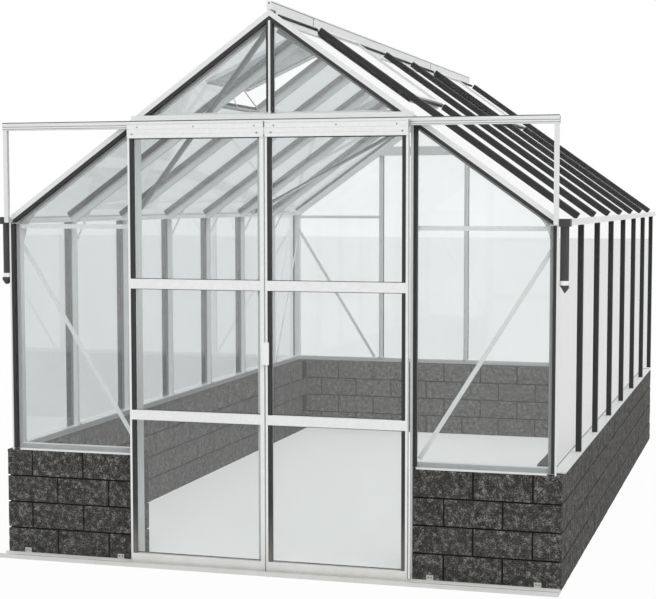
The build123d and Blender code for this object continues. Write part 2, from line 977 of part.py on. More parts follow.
with BuildPart() as vent_transoms:
    add(transoms_right.part)
    mirror(transoms_right.part, about=Plane.YZ)

# Door rail: a hollow section open below, on posts at both ends
rail_y_front = y_front - rail_front
rail_y_back = rail_y_front + rail_depth
rail_middle = (rail_y_front + rail_y_back) / 2

with BuildPart() as door_rail:
    with BuildSketch(Plane.YZ.offset(-rail_half)) as rail_section:
        with Locations((rail_middle, rail_low)):
            Rectangle(rail_depth, rail_height, align=(Align.CENTER, Align.MIN))
        with Locations((rail_middle, rail_low + rail_wall)):
            Rectangle(
                rail_depth - 2 * rail_wall,
                rail_height - 2 * rail_wall,
                align=(Align.CENTER, Align.MIN),
                mode=Mode.SUBTRACT,
            )
        with Locations((rail_middle, rail_low)):
            Rectangle(rail_slot, rail_wall, align=(Align.CENTER, Align.MIN), mode=Mode.SUBTRACT)
    extrude(rail_section.sketch, amount=2 * rail_half)

with BuildPart() as rail_brackets:
    for x in (-post_face - post_nose / 2, post_face + post_nose / 2):
        box(
            x - post_nose / 2,
            x + post_nose / 2,
            rail_y_back,
            y_front,
            rail_low,
            rail_low + rail_height,
        )

with BuildPart() as rail_end_posts:
    post_end = rail_post_inner + rail_post
    box(rail_post_inner, post_end, rail_y_front, rail_y_front + rail_post, rail_post_foot, rail_low)
    box(
        rail_post_inner,
        half_width - plate,
        rail_y_front + rail_post,
        y_front,
        rail_post_foot,
        rail_post_foot + foot_tab,
    )
    mirror(about=Plane.YZ)

# Bottom track on the ground, with clips on the wall
with BuildPart() as bottom_track:
    with BuildSketch(Plane.YZ.offset(-track_half)) as track_section:
        with Locations((y_front - track_front, 0)):
            Rectangle(track_front - block_joint, track_base, align=(Align.MIN, Align.MIN))
            Rectangle(track_lip, track_height, align=(Align.MIN, Align.MIN))
        with Locations((y_front - track_rib_back, 0)):
            Rectangle(plate, track_height - track_base, align=(Align.MAX, Align.MIN))
    extrude(track_section.sketch, amount=2 * track_half)

with BuildPart() as track_clips:
    for x in (-clip_outer, -clip_inner, clip_inner, clip_outer):
        left = x - clip_width / 2
        right = x + clip_width / 2
        box(left, right, y_front - plate, y_front, track_base, track_base + clip_height)
        box(left, right, y_front - clip_reach, y_front, track_base, track_base + plate)

# Sliding doors
leaf_y_front = y_front - leaf_front
leaf_y_back = leaf_y_front + leaf_depth
leaf_glass_y = leaf_y_back - plate - glass
leaf_inner = leaf_gap / 2
rail_levels = (
    (leaf_low, leaf_bottom_rail),
    (lower_mid, leaf_mid_rail),
    (upper_mid, leaf_mid_rail),
)


def leaf_stile(x_low, x_high, seat_low, seat_high):
    """Stile with its nose between two places and the seat for the panes behind them."""
    box(x_low, x_high, leaf_y_front, leaf_y_back, leaf_low, leaf_head_low)
    box(seat_low, seat_high, leaf_y_back - plate, leaf_y_back, leaf_low, leaf_head_low)


def leaf_rail(x_low, x_high, z_low, height):
    """Cross rail with a groove for the pane above and, off the ground, for the one below."""
    with BuildSketch(Plane.YZ.offset(x_low)) as section:
        with Locations((leaf_y_front, z_low)):
            Rectangle(leaf_depth - plate, height, align=(Align.MIN, Align.MIN))
        with Locations((leaf_glass_y - fit, z_low + height)):
            Rectangle(
                glass + fit,
                pane_groove,
                align=(Align.MIN, Align.MAX),
                mode=Mode.SUBTRACT,
            )
        if z_low > leaf_low:
            with Locations((leaf_glass_y - fit, z_low)):
                Rectangle(
                    glass + fit,
                    pane_groove,
                    align=(Align.MIN, Align.MIN),
                    mode=Mode.SUBTRACT,
                )
    extrude(section.sketch, amount=x_high - x_low)


def leaf_frame(meeting):
    """Frame of the right leaf, whose meeting stile has the given width."""
    nose_end = leaf_outer - stile_nose
    meeting_end = leaf_inner + meeting
    leaf_stile(nose_end, leaf_outer, nose_end - leaf_strip, nose_end)
    leaf_stile(leaf_inner, meeting_end, meeting_end, meeting_end + leaf_strip)
    for z_low, height in rail_levels:
        leaf_rail(meeting_end, nose_end, z_low, height)
    head_front = leaf_y_front - head_proud
    box(leaf_inner, leaf_outer, head_front, head_front + plate, leaf_head_low, leaf_head_high)
    box(leaf_inner, leaf_outer, head_front, leaf_y_back, leaf_head_low, leaf_head_low + plate)
    box(leaf_inner, leaf_outer, head_front, leaf_y_back, leaf_head_high - plate, leaf_head_high)


def leaf_panes(meeting):
    """Three panes of the right leaf, held in the grooves of its rails."""
    x_low = leaf_inner + meeting + fit
    x_high = leaf_outer - stile_nose - fit
    tops = [z_low for z_low, height in rail_levels[1:]] + [leaf_head_low]
    for (z_low, height), top in zip(rail_levels, tops):
        pane_low = z_low + height - pane_groove + fit
        pane_high = top - fit if top == leaf_head_low else top + pane_groove - fit
        box(x_low, x_high, leaf_glass_y, leaf_glass_y + glass, pane_low, pane_high)


def leaf_strips(x_low):
    """Cap strips between the rails of the right leaf, from x_low towards the middle of a pane."""
    tops = [z_low for z_low, height in rail_levels[1:]] + [leaf_head_low]
    for (z_low, height), top in zip(rail_levels, tops):
        box(x_low, x_low + leaf_strip, leaf_y_front, leaf_glass_y, z_low + height, top)


def leaf_hangers():
    """Two hangers of the right leaf, each with a pair of wheels inside the rail."""
    axle_z = rail_low + rail_wall + fit + wheel_radius
    foot_low = leaf_head_low + plate
    for x in (leaf_inner + hanger_inset, leaf_outer - hanger_inset):
        left = x - hanger_width / 2
        right = x + hanger_width / 2
        stem_back = rail_middle + hanger_plate / 2
        box(left, right, leaf_y_front, stem_back, foot_low, foot_low + hanger_plate)
        box(left, right, rail_middle - hanger_plate / 2, stem_back, foot_low, axle_z)
        with Locations(Location((x, rail_middle, axle_z), (90, 0, 0))):
            Cylinder(wheel_radius - rail_wall, 2 * wheel_offset)
        for side in (-1, 1):
            wheel_y = rail_middle + side * (wheel_offset + wheel_width / 2)
            with Locations(Location((x, wheel_y, axle_z), (90, 0, 0))):
                Cylinder(wheel_radius, wheel_width)


with BuildPart() as right_door_frame:
    leaf_frame(stile_nose)

with BuildPart() as right_door_glass:
    leaf_panes(stile_nose)

with BuildPart() as right_door_strips:
    leaf_strips(leaf_inner + stile_nose)
    leaf_strips(leaf_outer - stile_nose - leaf_strip)

with BuildPart() as right_door_hangers:
    leaf_hangers()

with BuildPart() as wide_leaf:
    leaf_frame(meeting_stile)

with BuildPart() as left_door_frame:
    mirror(wide_leaf.part, about=Plane.YZ)

with BuildPart() as wide_leaf_panes:
    leaf_panes(meeting_stile)

with BuildPart() as left_door_glass:
    mirror(wide_leaf_panes.part, about=Plane.YZ)

with BuildPart() as outer_strips:
    leaf_strips(leaf_outer - stile_nose - leaf_strip)

with BuildPart() as left_door_strips:
    mirror(outer_strips.part, about=Plane.YZ)

with BuildPart() as left_door_hangers:
    mirror(right_door_hangers.part, about=Plane.YZ)

# Handle, on the left leaf's meeting stile and reaching over the gap
handle_x = -leaf_inner - stile_nose
handle_y = leaf_y_front - handle_standoff

with BuildPart() as door_handle:
    box(
        handle_x,
        handle_x + handle_width,
        handle_y - handle_plate,
        handle_y,
        handle_low,
        handle_low + handle_height,
    )
    fillet(door_handle.edges().filter_by(Axis.Y), radius=handle_plate / 2)
    box(
        handle_x,
        -leaf_inner - fit,
        handle_y,
        leaf_y_front,
        handle_low + handle_plate,
        handle_low + handle_height - handle_plate,
    )

pieces = {
    "wall_front_left": wall_front_left,
    "wall_front_right": wall_front_right,
    "wall_left": wall_left,
    "wall_right": wall_right,
    "wall_back": wall_back,
    "sills": sills,
    "corner_posts": corner_posts,
    "door_posts": door_posts,
    "rafters": rafters,
    "gable_bars_front": gable_bars_front,
    "gable_bars_back": gable_bars_back,
    "side_bars_left": side_bars_left,
    "side_bars_right": side_bars_right,
    "roof_bars_left": roof_bars_left,
    "roof_bars_right": roof_bars_right,
    "ridge": ridge,
    "gutter_left": gutter_left,
    "gutter_right": gutter_right,
    "downpipes": downpipes,
    "pipe_rings": pipe_rings,
    "pipe_spouts": pipe_spouts,
    "wall_braces": wall_braces,
    "roof_braces": roof_braces,
    "knee_braces": knee_braces,
    "side_caps": side_caps,
    "roof_caps": roof_caps,
    "gable_caps": gable_caps,
    "glass_front": glass_front,
    "glass_back": glass_back,
    "glass_left": glass_left,
    "glass_right": glass_right,
    "glass_roof_left": glass_roof_left,
    "glass_roof_right": glass_roof_right,
    "vent_frames": vent_frames,
    "vent_glass": vent_glass,
    "vent_stays": vent_stays,
    "vent_transoms": vent_transoms,
    "door_rail": door_rail,
    "rail_brackets": rail_brackets,
    "rail_end_posts": rail_end_posts,
    "bottom_track": bottom_track,
    "track_clips": track_clips,
    "left_door_frame": left_door_frame,
    "left_door_glass": left_door_glass,
    "left_door_strips": left_door_strips,
    "left_door_hangers": left_door_hangers,
    "door_handle": door_handle,
    "right_door_frame": right_door_frame,
    "right_door_glass": right_door_glass,
    "right_door_strips": right_door_strips,
    "right_door_hangers": right_door_hangers,
}

os.makedirs("parts", exist_ok=True)
for name, piece in pieces.items():
    piece.part.label = name
    export_step(piece.part, f"parts/{name}.step")
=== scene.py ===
import bpy
import bmesh
import math
from mathutils import Matrix, Vector, noise


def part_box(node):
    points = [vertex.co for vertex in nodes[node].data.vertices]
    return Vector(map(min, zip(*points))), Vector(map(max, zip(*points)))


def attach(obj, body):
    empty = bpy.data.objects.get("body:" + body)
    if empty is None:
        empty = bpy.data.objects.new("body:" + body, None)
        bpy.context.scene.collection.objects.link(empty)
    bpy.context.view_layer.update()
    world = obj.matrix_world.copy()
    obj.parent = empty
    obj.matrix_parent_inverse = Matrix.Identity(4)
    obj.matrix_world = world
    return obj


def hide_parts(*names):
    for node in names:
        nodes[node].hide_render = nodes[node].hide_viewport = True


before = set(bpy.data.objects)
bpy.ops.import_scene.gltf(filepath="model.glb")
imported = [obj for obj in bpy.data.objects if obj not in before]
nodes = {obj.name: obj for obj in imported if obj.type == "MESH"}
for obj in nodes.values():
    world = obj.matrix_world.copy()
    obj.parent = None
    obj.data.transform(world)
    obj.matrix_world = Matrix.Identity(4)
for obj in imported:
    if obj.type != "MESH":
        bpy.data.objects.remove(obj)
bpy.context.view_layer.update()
print("frame loaded:", len(nodes), "nodes")


# shader groups

def newGroup(name, inputs, outputs):
    group = bpy.data.node_groups.new(name, "ShaderNodeTree")
    for label, kind, value in inputs:
        socket = group.interface.new_socket(name=label, in_out="INPUT", socket_type=kind)
        if value is not None:
            socket.default_value = value
    for label, kind in outputs:
        group.interface.new_socket(name=label, in_out="OUTPUT", socket_type=kind)
    inside = group.nodes.new("NodeGroupInput")
    outside = group.nodes.new("NodeGroupOutput")
    return group, inside, outside


def addNode(tree, kind, **settings):
    node = tree.nodes.new(kind)
    for key, value in settings.items():
        setattr(node, key, value)
    return node


def addNoise(tree, vector, scale, detail=3.0, rough=0.5):
    node = addNode(tree, "ShaderNodeTexNoise")
    node.inputs["Detail"].default_value = detail
    node.inputs["Roughness"].default_value = rough
    if isinstance(scale, (int, float)):
        node.inputs["Scale"].default_value = scale
    else:
        tree.links.new(scale, node.inputs["Scale"])
    tree.links.new(vector, node.inputs["Vector"])
    return node.outputs["Fac"]


def addMath(tree, operation, first, second=None, clamp=False):
    node = addNode(tree, "ShaderNodeMath", operation=operation, use_clamp=clamp)
    for index, value in enumerate((first, second)):
        if value is None:
            continue
        if isinstance(value, (int, float)):
            node.inputs[index].default_value = value
        else:
            tree.links.new(value, node.inputs[index])
    return node.outputs[0]


def addRange(tree, value, fromLow, fromHigh, toLow=0.0, toHigh=1.0):
    node = addNode(tree, "ShaderNodeMapRange")
    tree.links.new(value, node.inputs["Value"])
    limits = (("From Min", fromLow), ("From Max", fromHigh), ("To Min", toLow), ("To Max", toHigh))
    for key, number in limits:
        if isinstance(number, (int, float)):
            node.inputs[key].default_value = number
        else:
            tree.links.new(number, node.inputs[key])
    return node.outputs["Result"]


def makeStreaks():
    # long faint marks of an extruded or drawn surface, with the stretch given as a vector
    group, inside, outside = newGroup(
        "DrawnStreaks",
        (
            ("Vector", "NodeSocketVector", None),
            ("Stretch", "NodeSocketVector", (1.0, 1.0, 1.0)),
            ("Scale", "NodeSocketFloat", 200.0),
        ),
        (("Mask", "NodeSocketFloat"),),
    )
    links = group.links
    scaled = addNode(group, "ShaderNodeVectorMath", operation="MULTIPLY")
    links.new(inside.outputs["Vector"], scaled.inputs[0])
    links.new(inside.outputs["Stretch"], scaled.inputs[1])
    lines = addNoise(group, scaled.outputs[0], inside.outputs["Scale"], 2.0, 0.6)
    links.new(addRange(group, lines, 0.3, 0.7), outside.inputs["Mask"])
    return group


def makeDust():
    # dust that gathers towards the ground and breaks up in patches
    group, inside, outside = newGroup(
        "SettledDust",
        (
            ("Vector", "NodeSocketVector", None),
            ("Reach", "NodeSocketFloat", 0.3),
            ("Patch Scale", "NodeSocketFloat", 9.0),
        ),
        (("Mask", "NodeSocketFloat"),),
    )
    links = group.links
    split = addNode(group, "ShaderNodeSeparateXYZ")
    links.new(inside.outputs["Vector"], split.inputs[0])
    low = addRange(group, split.outputs["Z"], inside.outputs["Reach"], 0.0)
    patches = addNoise(group, inside.outputs["Vector"], inside.outputs["Patch Scale"], 4.0, 0.6)
    links.new(addMath(group, "MULTIPLY", low, patches, clamp=True), outside.inputs["Mask"])
    return group


def makeChips():
    # pale and dark grains of split stone, and the height they stand at
    group, inside, outside = newGroup(
        "StoneGrains",
        (
            ("Vector", "NodeSocketVector", None),
            ("Grain Scale", "NodeSocketFloat", 150.0),
            ("Hollow Scale", "NodeSocketFloat", 40.0),
        ),
        (("Grains", "NodeSocketFloat"), ("Height", "NodeSocketFloat")),
    )
    links = group.links
    vector = inside.outputs["Vector"]
    fine = addNoise(group, vector, inside.outputs["Grain Scale"], 5.0, 0.8)
    broad = addNoise(group, vector, inside.outputs["Hollow Scale"], 4.0, 0.65)
    fineShare = addMath(group, "MULTIPLY", fine, 0.65)
    broadShare = addMath(group, "MULTIPLY", broad, 0.35)
    mixed = addMath(group, "ADD", fineShare, broadShare)
    links.new(addRange(group, mixed, 0.41, 0.63), outside.inputs["Grains"])
    links.new(mixed, outside.inputs["Height"])
    return group


def makeInset():
    # how far a place lies inside the glass line, given as offset less a share of |X| and of Z
    group, inside, outside = newGroup(
        "GlazingInset",
        (
            ("Vector", "NodeSocketVector", None),
            ("Offset", "NodeSocketFloat", 1.285),
            ("Share X", "NodeSocketFloat", 1.0),
            ("Share Z", "NodeSocketFloat", 0.0),
        ),
        (("Inset", "NodeSocketFloat"),),
    )
    links = group.links
    split = addNode(group, "ShaderNodeSeparateXYZ")
    links.new(inside.outputs["Vector"], split.inputs[0])
    away = addMath(group, "ABSOLUTE", split.outputs["X"])
    across = addMath(group, "MULTIPLY", away, inside.outputs["Share X"])
    upward = addMath(group, "MULTIPLY", split.outputs["Z"], inside.outputs["Share Z"])
    reached = addMath(group, "ADD", across, upward)
    left = addMath(group, "SUBTRACT", inside.outputs["Offset"], reached)
    links.new(left, outside.inputs["Inset"])
    return group


streakGroup = makeStreaks()
dustGroup = makeDust()
chipGroup = makeChips()
insetGroup = makeInset()
# the roof plane: |X| times the sine and Z times the cosine of its slope add up to this offset
roofInset = {"Offset": 2.0424, "Share X": 0.5795, "Share Z": 0.8150}


# finishes

def newMaterial(name):
    material = bpy.data.materials.new(name)
    material.use_nodes = True
    tree = material.node_tree
    shader = tree.nodes["Principled BSDF"]
    place = addNode(tree, "ShaderNodeTexCoord").outputs["Object"]
    return material, tree, shader, place


def placeGroup(tree, group, place, **values):
    node = addNode(tree, "ShaderNodeGroup", node_tree=group)
    tree.links.new(place, node.inputs["Vector"])
    for key, value in values.items():
        node.inputs[key].default_value = value
    return node


def mixColours(tree, factor, first, second):
    node = addNode(tree, "ShaderNodeMix", data_type="RGBA")
    tree.links.new(factor, node.inputs["Factor"])
    for socket, value in ((node.inputs[6], first), (node.inputs[7], second)):
        if isinstance(value, tuple):
            socket.default_value = (*value, 1.0)
        else:
            tree.links.new(value, socket)
    return node.outputs[2]


def addBump(tree, shader, height, strength, distance):
    bump = addNode(tree, "ShaderNodeBump")
    bump.inputs["Strength"].default_value = strength
    bump.inputs["Distance"].default_value = distance
    tree.links.new(height, bump.inputs["Height"])
    tree.links.new(bump.outputs["Normal"], shader.inputs["Normal"])


def hideFromGloss(tree, shader, where=None):
    # not physical: strips, bars, seals and pipes are left out of mirror images. They still show
    # through clear glass, where a ray counts as glossy and as transmission at once
    rays = addNode(tree, "ShaderNodeLightPath")
    glossy, through = rays.outputs["Is Glossy Ray"], rays.outputs["Is Transmission Ray"]
    hidden = addMath(tree, "SUBTRACT", glossy, through, True)
    if where is not None:
        hidden = addMath(tree, "MULTIPLY", hidden, where)
    clear = addNode(tree, "ShaderNodeBsdfTransparent")
    mix = addNode(tree, "ShaderNodeMixShader")
    tree.links.new(hidden, mix.inputs[0])
    tree.links.new(shader.outputs[0], mix.inputs[1])
    tree.links.new(clear.outputs[0], mix.inputs[2])
    tree.links.new(mix.outputs[0], tree.nodes["Material Output"].inputs["Surface"])


metalLook = {
    "streakScale": 180.0,
    "dustReach": 0.25,
    "dustColour": (0.62, 0.61, 0.58),
    "bump": (0.12, 0.0006),  # strength and distance
}


def metalFinish(name, pale, dull, stretch, metallic=0.55, rough=0.36):
    look = metalLook
    material, tree, shader, place = newMaterial(name)
    marks = placeGroup(tree, streakGroup, place, Stretch=stretch, Scale=look["streakScale"])
    streaks = marks.outputs["Mask"]
    dust = placeGroup(tree, dustGroup, place, Reach=look["dustReach"]).outputs["Mask"]
    base = mixColours(tree, streaks, pale, dull)
    tree.links.new(mixColours(tree, dust, base, look["dustColour"]), shader.inputs["Base Color"])
    roughness = addRange(tree, streaks, 0.0, 1.0, rough - 0.05, rough + 0.07)
    tree.links.new(roughness, shader.inputs["Roughness"])
    shader.inputs["Metallic"].default_value = metallic
    addBump(tree, shader, streaks, *look["bump"])
    return material


plasticLook = {
    "grainScale": 420.0,
    "stripGrainScale": 300.0,
    "dustColour": (0.3, 0.29, 0.27),
    "bump": (0.1, 0.0005),
    "blur": 0.003,  # width of the change from middle to edge on a cap strip
    "waver": 0.002,
}


def plasticFinish(name, dark, pale, rough=0.5, reach=0.3, unmirrored=False):
    look = plasticLook
    material, tree, shader, place = newMaterial(name)
    grain = addNoise(tree, place, look["grainScale"], 3.0, 0.6)
    dust = placeGroup(tree, dustGroup, place, Reach=reach).outputs["Mask"]
    base = mixColours(tree, addRange(tree, grain, 0.3, 0.7), dark, pale)
    tree.links.new(mixColours(tree, dust, base, look["dustColour"]), shader.inputs["Base Color"])
    roughness = addRange(tree, grain, 0.3, 0.7, rough - 0.06, rough + 0.08)
    tree.links.new(roughness, shader.inputs["Roughness"])
    addBump(tree, shader, grain, *look["bump"])
    if unmirrored:
        hideFromGloss(tree, shader)
    return material


def stripFinish(name, edge, middle, halfMiddle, mirroredLift=None):
    # painted shade: each cap strip's edges are painted darker than its middle. The strips stand on
    # the bar lines, so the distance to the nearest line tells middle from edge
    look = plasticLook
    material, tree, shader, place = newMaterial(name)
    pitch, first = barLines["spacing"], barLines["first"]
    split = addNode(tree, "ShaderNodeSeparateXYZ")
    tree.links.new(place, split.inputs[0])
    steps = addMath(tree, "DIVIDE", addMath(tree, "SUBTRACT", split.outputs["Y"], first), pitch)
    nearest = addMath(tree, "ROUND", steps)
    away = addMath(tree, "ABSOLUTE", addMath(tree, "SUBTRACT", steps, nearest))
    grain = addNoise(tree, place, look["stripGrainScale"], 3.0, 0.6)
    distance = addMath(tree, "MULTIPLY", away, pitch)
    blurred = addMath(tree, "ADD", distance, addMath(tree, "MULTIPLY", grain, look["waver"]))
    shadedSides = addRange(tree, blurred, halfMiddle, halfMiddle + look["blur"])
    tree.links.new(mixColours(tree, shadedSides, middle, edge), shader.inputs["Base Color"])
    tree.links.new(addRange(tree, grain, 0.3, 0.7, 0.42, 0.58), shader.inputs["Roughness"])
    addBump(tree, shader, grain, *look["bump"])
    above = None
    if mirroredLift is not None:
        inset = placeGroup(tree, insetGroup, place, **roofInset).outputs["Inset"]
        above = addMath(tree, "LESS_THAN", inset, -mirroredLift)
    hideFromGloss(tree, shader, above)
    return material


glassLook = {
    "dust": (0.85, 0.86, 0.86, 1.0),
    "mirror": (0.98, 0.98, 0.98, 1.0),
    "sheenFrom": 0.30,
    "sheenTo": 0.46,
    "sheenMost": 0.92,
}


def glassFinish(name, tint, shadow, film=0.028, bend=1.45):
    look = glassLook
    material, tree, shader, place = newMaterial(name)
    smear = addNoise(tree, place, 3.5, 4.0, 0.6)
    base = mixColours(tree, addRange(tree, smear, 0.3, 0.7), tint, tuple(c * 0.97 for c in tint))
    tree.links.new(base, shader.inputs["Base Color"])
    shader.inputs["Roughness"].default_value = 0.0
    shader.inputs["Transmission Weight"].default_value = 1.0
    shader.inputs["IOR"].default_value = bend
    # a thin film of dust
    haze = addNode(tree, "ShaderNodeBsdfDiffuse")
    haze.inputs["Color"].default_value = look["dust"]
    dustAndPaintedVeil = addNode(tree, "ShaderNodeMixShader")
    dustAndPaintedVeil.inputs[0].default_value = film
    tree.links.new(shader.outputs[0], dustAndPaintedVeil.inputs[1])
    tree.links.new(haze.outputs[0], dustAndPaintedVeil.inputs[2])
    # not physical: panes seen along their face mirror more than real glass does
    mirror = addNode(tree, "ShaderNodeBsdfGlossy")
    mirror.inputs["Color"].default_value = look["mirror"]
    mirror.inputs["Roughness"].default_value = 0.0
    grazing = addNode(tree, "ShaderNodeFresnel")
    grazing.inputs["IOR"].default_value = bend
    sheen = addNode(tree, "ShaderNodeMixShader")
    amount = addRange(
        tree, grazing.outputs[0], look["sheenFrom"], look["sheenTo"], 0.0, look["sheenMost"]
    )
    tree.links.new(amount, sheen.inputs[0])
    tree.links.new(dustAndPaintedVeil.outputs[0], sheen.inputs[1])
    tree.links.new(mirror.outputs[0], sheen.inputs[2])
    # a plain way through for shadows and bounced light
    clear = addNode(tree, "ShaderNodeBsdfTransparent")
    clear.inputs["Color"].default_value = (*shadow, 1.0)
    rays = addNode(tree, "ShaderNodeLightPath")
    passing = addMath(tree, "MAXIMUM", rays.outputs["Is Shadow Ray"], rays.outputs["Is Diffuse Ray"])
    mix = addNode(tree, "ShaderNodeMixShader")
    tree.links.new(passing, mix.inputs[0])
    tree.links.new(sheen.outputs[0], mix.inputs[1])
    tree.links.new(clear.outputs[0], mix.inputs[2])
    tree.links.new(mix.outputs[0], tree.nodes["Material Output"].inputs["Surface"])
    return material


stoneLook = {
    "dark": (0.006, 0.006, 0.006),
    "middle": (0.040, 0.039, 0.036),
    "pale": (0.36, 0.352, 0.335),
    "warm": (0.06, 0.054, 0.05),
    # painted light: the paler colours of the stone faces inside the house
    "dustAndPaintedVeil": (0.040, 0.039, 0.036),
    "paintedVeilPale": (0.30, 0.29, 0.27),
    "paintedVeilShare": 0.7,
    "warmShare": 0.25,
    "patchScale": 5.0,
    "grainScale": 170.0,
    "bump": (0.9, 0.006),
    "reach": 0.003,  # how far past an inner face the indoor colour goes
}


def stoneFinish(name):
    look = stoneLook
    material, tree, shader, place = newMaterial(name)
    chips = placeGroup(tree, chipGroup, place)
    chips.inputs["Grain Scale"].default_value = look["grainScale"]
    grains = chips.outputs["Grains"]
    ramp = addNode(tree, "ShaderNodeValToRGB")
    ramp.color_ramp.elements[0].color = (*look["dark"], 1.0)
    ramp.color_ramp.elements[1].color = (*look["pale"], 1.0)
    middle = ramp.color_ramp.elements.new(0.5)
    middle.color = (*look["middle"], 1.0)
    tree.links.new(grains, ramp.inputs["Fac"])
    shade = addRange(tree, addNoise(tree, place, look["patchScale"], 2.0, 0.5), 0.3, 0.7)
    warm = mixColours(tree, shade, ramp.outputs["Color"], look["warm"])
    blend = addNode(tree, "ShaderNodeMix", data_type="RGBA")
    blend.inputs["Factor"].default_value = look["warmShare"]
    tree.links.new(ramp.outputs["Color"], blend.inputs[6])
    tree.links.new(warm, blend.inputs[7])
    # painted light: the faces inside the house are painted paler, for the light veil seen over them
    # through the glass
    split = addNode(tree, "ShaderNodeSeparateXYZ")
    tree.links.new(place, split.inputs[0])
    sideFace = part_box("wall_right")[0].x + look["reach"]
    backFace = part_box("wall_back")[0].y + look["reach"]
    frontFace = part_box("wall_front_right")[1].y - look["reach"]
    away = addMath(tree, "ABSOLUTE", split.outputs["X"])
    insideX = addMath(tree, "LESS_THAN", away, sideFace)
    insideBack = addMath(tree, "LESS_THAN", split.outputs["Y"], backFace)
    insideFront = addMath(tree, "GREATER_THAN", split.outputs["Y"], frontFace)
    indoors = addMath(tree, "MULTIPLY", addMath(tree, "MULTIPLY", insideX, insideBack), insideFront)
    dustAndPaintedVeil = mixColours(tree, grains, look["dustAndPaintedVeil"], look["paintedVeilPale"])
    amount = addMath(tree, "MULTIPLY", indoors, look["paintedVeilShare"])
    veiledStone = mixColours(tree, amount, blend.outputs[2], dustAndPaintedVeil)
    tree.links.new(veiledStone, shader.inputs["Base Color"])
    tree.links.new(addRange(tree, grains, 0.0, 1.0, 0.95, 0.75), shader.inputs["Roughness"])
    addBump(tree, shader, chips.outputs["Height"], *look["bump"])
    return material


def jointFinish(name):
    material, tree, shader, place = newMaterial(name)
    grain = addNoise(tree, place, 260.0, 3.0, 0.7)
    tree.links.new(
        mixColours(tree, grain, (0.004, 0.004, 0.004), (0.012, 0.012, 0.012)),
        shader.inputs["Base Color"],
    )
    shader.inputs["Roughness"].default_value = 0.95
    return material


def barFinish(name, dark, pale, inset, start, stretch):
    # glazing bars: dark beside the glass as painted shade, and pale further in, because the solids
    # stand deeper into the house than the bars of the photo do
    material, tree, shader, place = newMaterial(name)
    marks = placeGroup(tree, streakGroup, place, Stretch=stretch, Scale=metalLook["streakScale"])
    streaks = marks.outputs["Mask"]
    depth = placeGroup(tree, insetGroup, place, **inset).outputs["Inset"]
    shade = mixColours(tree, streaks, dark, tuple(c * 0.85 for c in dark))
    bright = mixColours(tree, streaks, pale, tuple(c * 0.92 for c in pale))
    inner = addRange(tree, depth, start, start + 0.003)
    tree.links.new(mixColours(tree, inner, shade, bright), shader.inputs["Base Color"])
    tree.links.new(addRange(tree, streaks, 0.0, 1.0, 0.38, 0.5), shader.inputs["Roughness"])
    shader.inputs["Metallic"].default_value = 0.3
    addBump(tree, shader, streaks, *metalLook["bump"])
    hideFromGloss(tree, shader)
    return material


barLines = {"spacing": 0.628, "first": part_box("wall_front_right")[0].y}
paleMetal = ((0.79, 0.80, 0.795), (0.73, 0.74, 0.74))
# painted shade: a darker copy of the pale aluminium, for the braces and transoms in the roof
shadedBarMetal = ((0.42, 0.44, 0.44), (0.34, 0.36, 0.36))
finishes = {
    "frameMetal": metalFinish("AluminiumFrame", *paleMetal, (0.3, 0.3, 0.3)),
    "leafMetal": metalFinish(
        "AluminiumLeaf", (0.85, 0.86, 0.855), (0.79, 0.80, 0.80), (0.3, 0.3, 0.3), 0.4
    ),
    "uprightMetal": metalFinish("AluminiumUpright", *paleMetal, (1.0, 1.0, 0.02)),
    "acrossMetal": metalFinish("AluminiumAcross", *paleMetal, (0.02, 1.0, 1.0)),
    "lengthMetal": metalFinish("AluminiumLengthwise", *paleMetal, (1.0, 0.02, 1.0)),
    # painted shade: the first colour of each glazing bar, dark beside the glass
    "sideBarMetal": barFinish(
        "AluminiumSideBar", (0.33, 0.34, 0.34), (0.80, 0.82, 0.82),
        {"Offset": 1.285}, 0.011, (1.0, 1.0, 0.02),
    ),
    "roofBarMetal": barFinish(
        "AluminiumRoofBar", (0.33, 0.34, 0.34), (0.66, 0.69, 0.69),
        roofInset, 0.013, (0.02, 1.0, 0.02),
    ),
    "shadedBraceMetal": metalFinish("AluminiumBraceShaded", *shadedBarMetal, (0.3, 0.3, 0.3), 0.35, 0.42),
    "blackPlastic": plasticFinish(
        "BlackPlastic", (0.012, 0.013, 0.012), (0.020, 0.021, 0.020), unmirrored=True
    ),
    # painted shade: the cap strips' edges are painted darker than their middles
    "capStrip": stripFinish("CapStrip", (0.012, 0.012, 0.012), (0.052, 0.052, 0.052), 0.0075),
    "roofCapStrip": stripFinish(
        "RoofCapStrip", (0.012, 0.012, 0.012), (0.048, 0.048, 0.048), 0.0075, -0.001
    ),
    "pipePlastic": plasticFinish(
        "PipePlastic", (0.028, 0.028, 0.028), (0.045, 0.045, 0.045), unmirrored=True
    ),
    "screwMetal": metalFinish(
        "ScrewSteel", (0.42, 0.42, 0.42), (0.3, 0.3, 0.3), (1.0, 1.0, 1.0), 0.6, 0.3
    ),
    "whitePlastic": plasticFinish("WhitePlastic", (0.78, 0.79, 0.79), (0.84, 0.85, 0.85), 0.4),
    "frontGlass": glassFinish("FrontGlass", (0.97, 0.985, 0.985), (0.95, 0.96, 0.96)),
    "sideGlass": glassFinish("SideGlass", (0.78, 0.81, 0.82), (0.95, 0.96, 0.96)),
    "roofGlass": glassFinish("RoofGlass", (0.69, 0.72, 0.73), (0.93, 0.94, 0.94), 0.028, 1.15),
    "ventGlass": glassFinish("VentGlass", (0.33, 0.35, 0.36), (0.9, 0.9, 0.9), 0.028, 1.15),
    "stone": stoneFinish("SplitStone"),
    "joint": jointFinish("StoneJoint"),
}

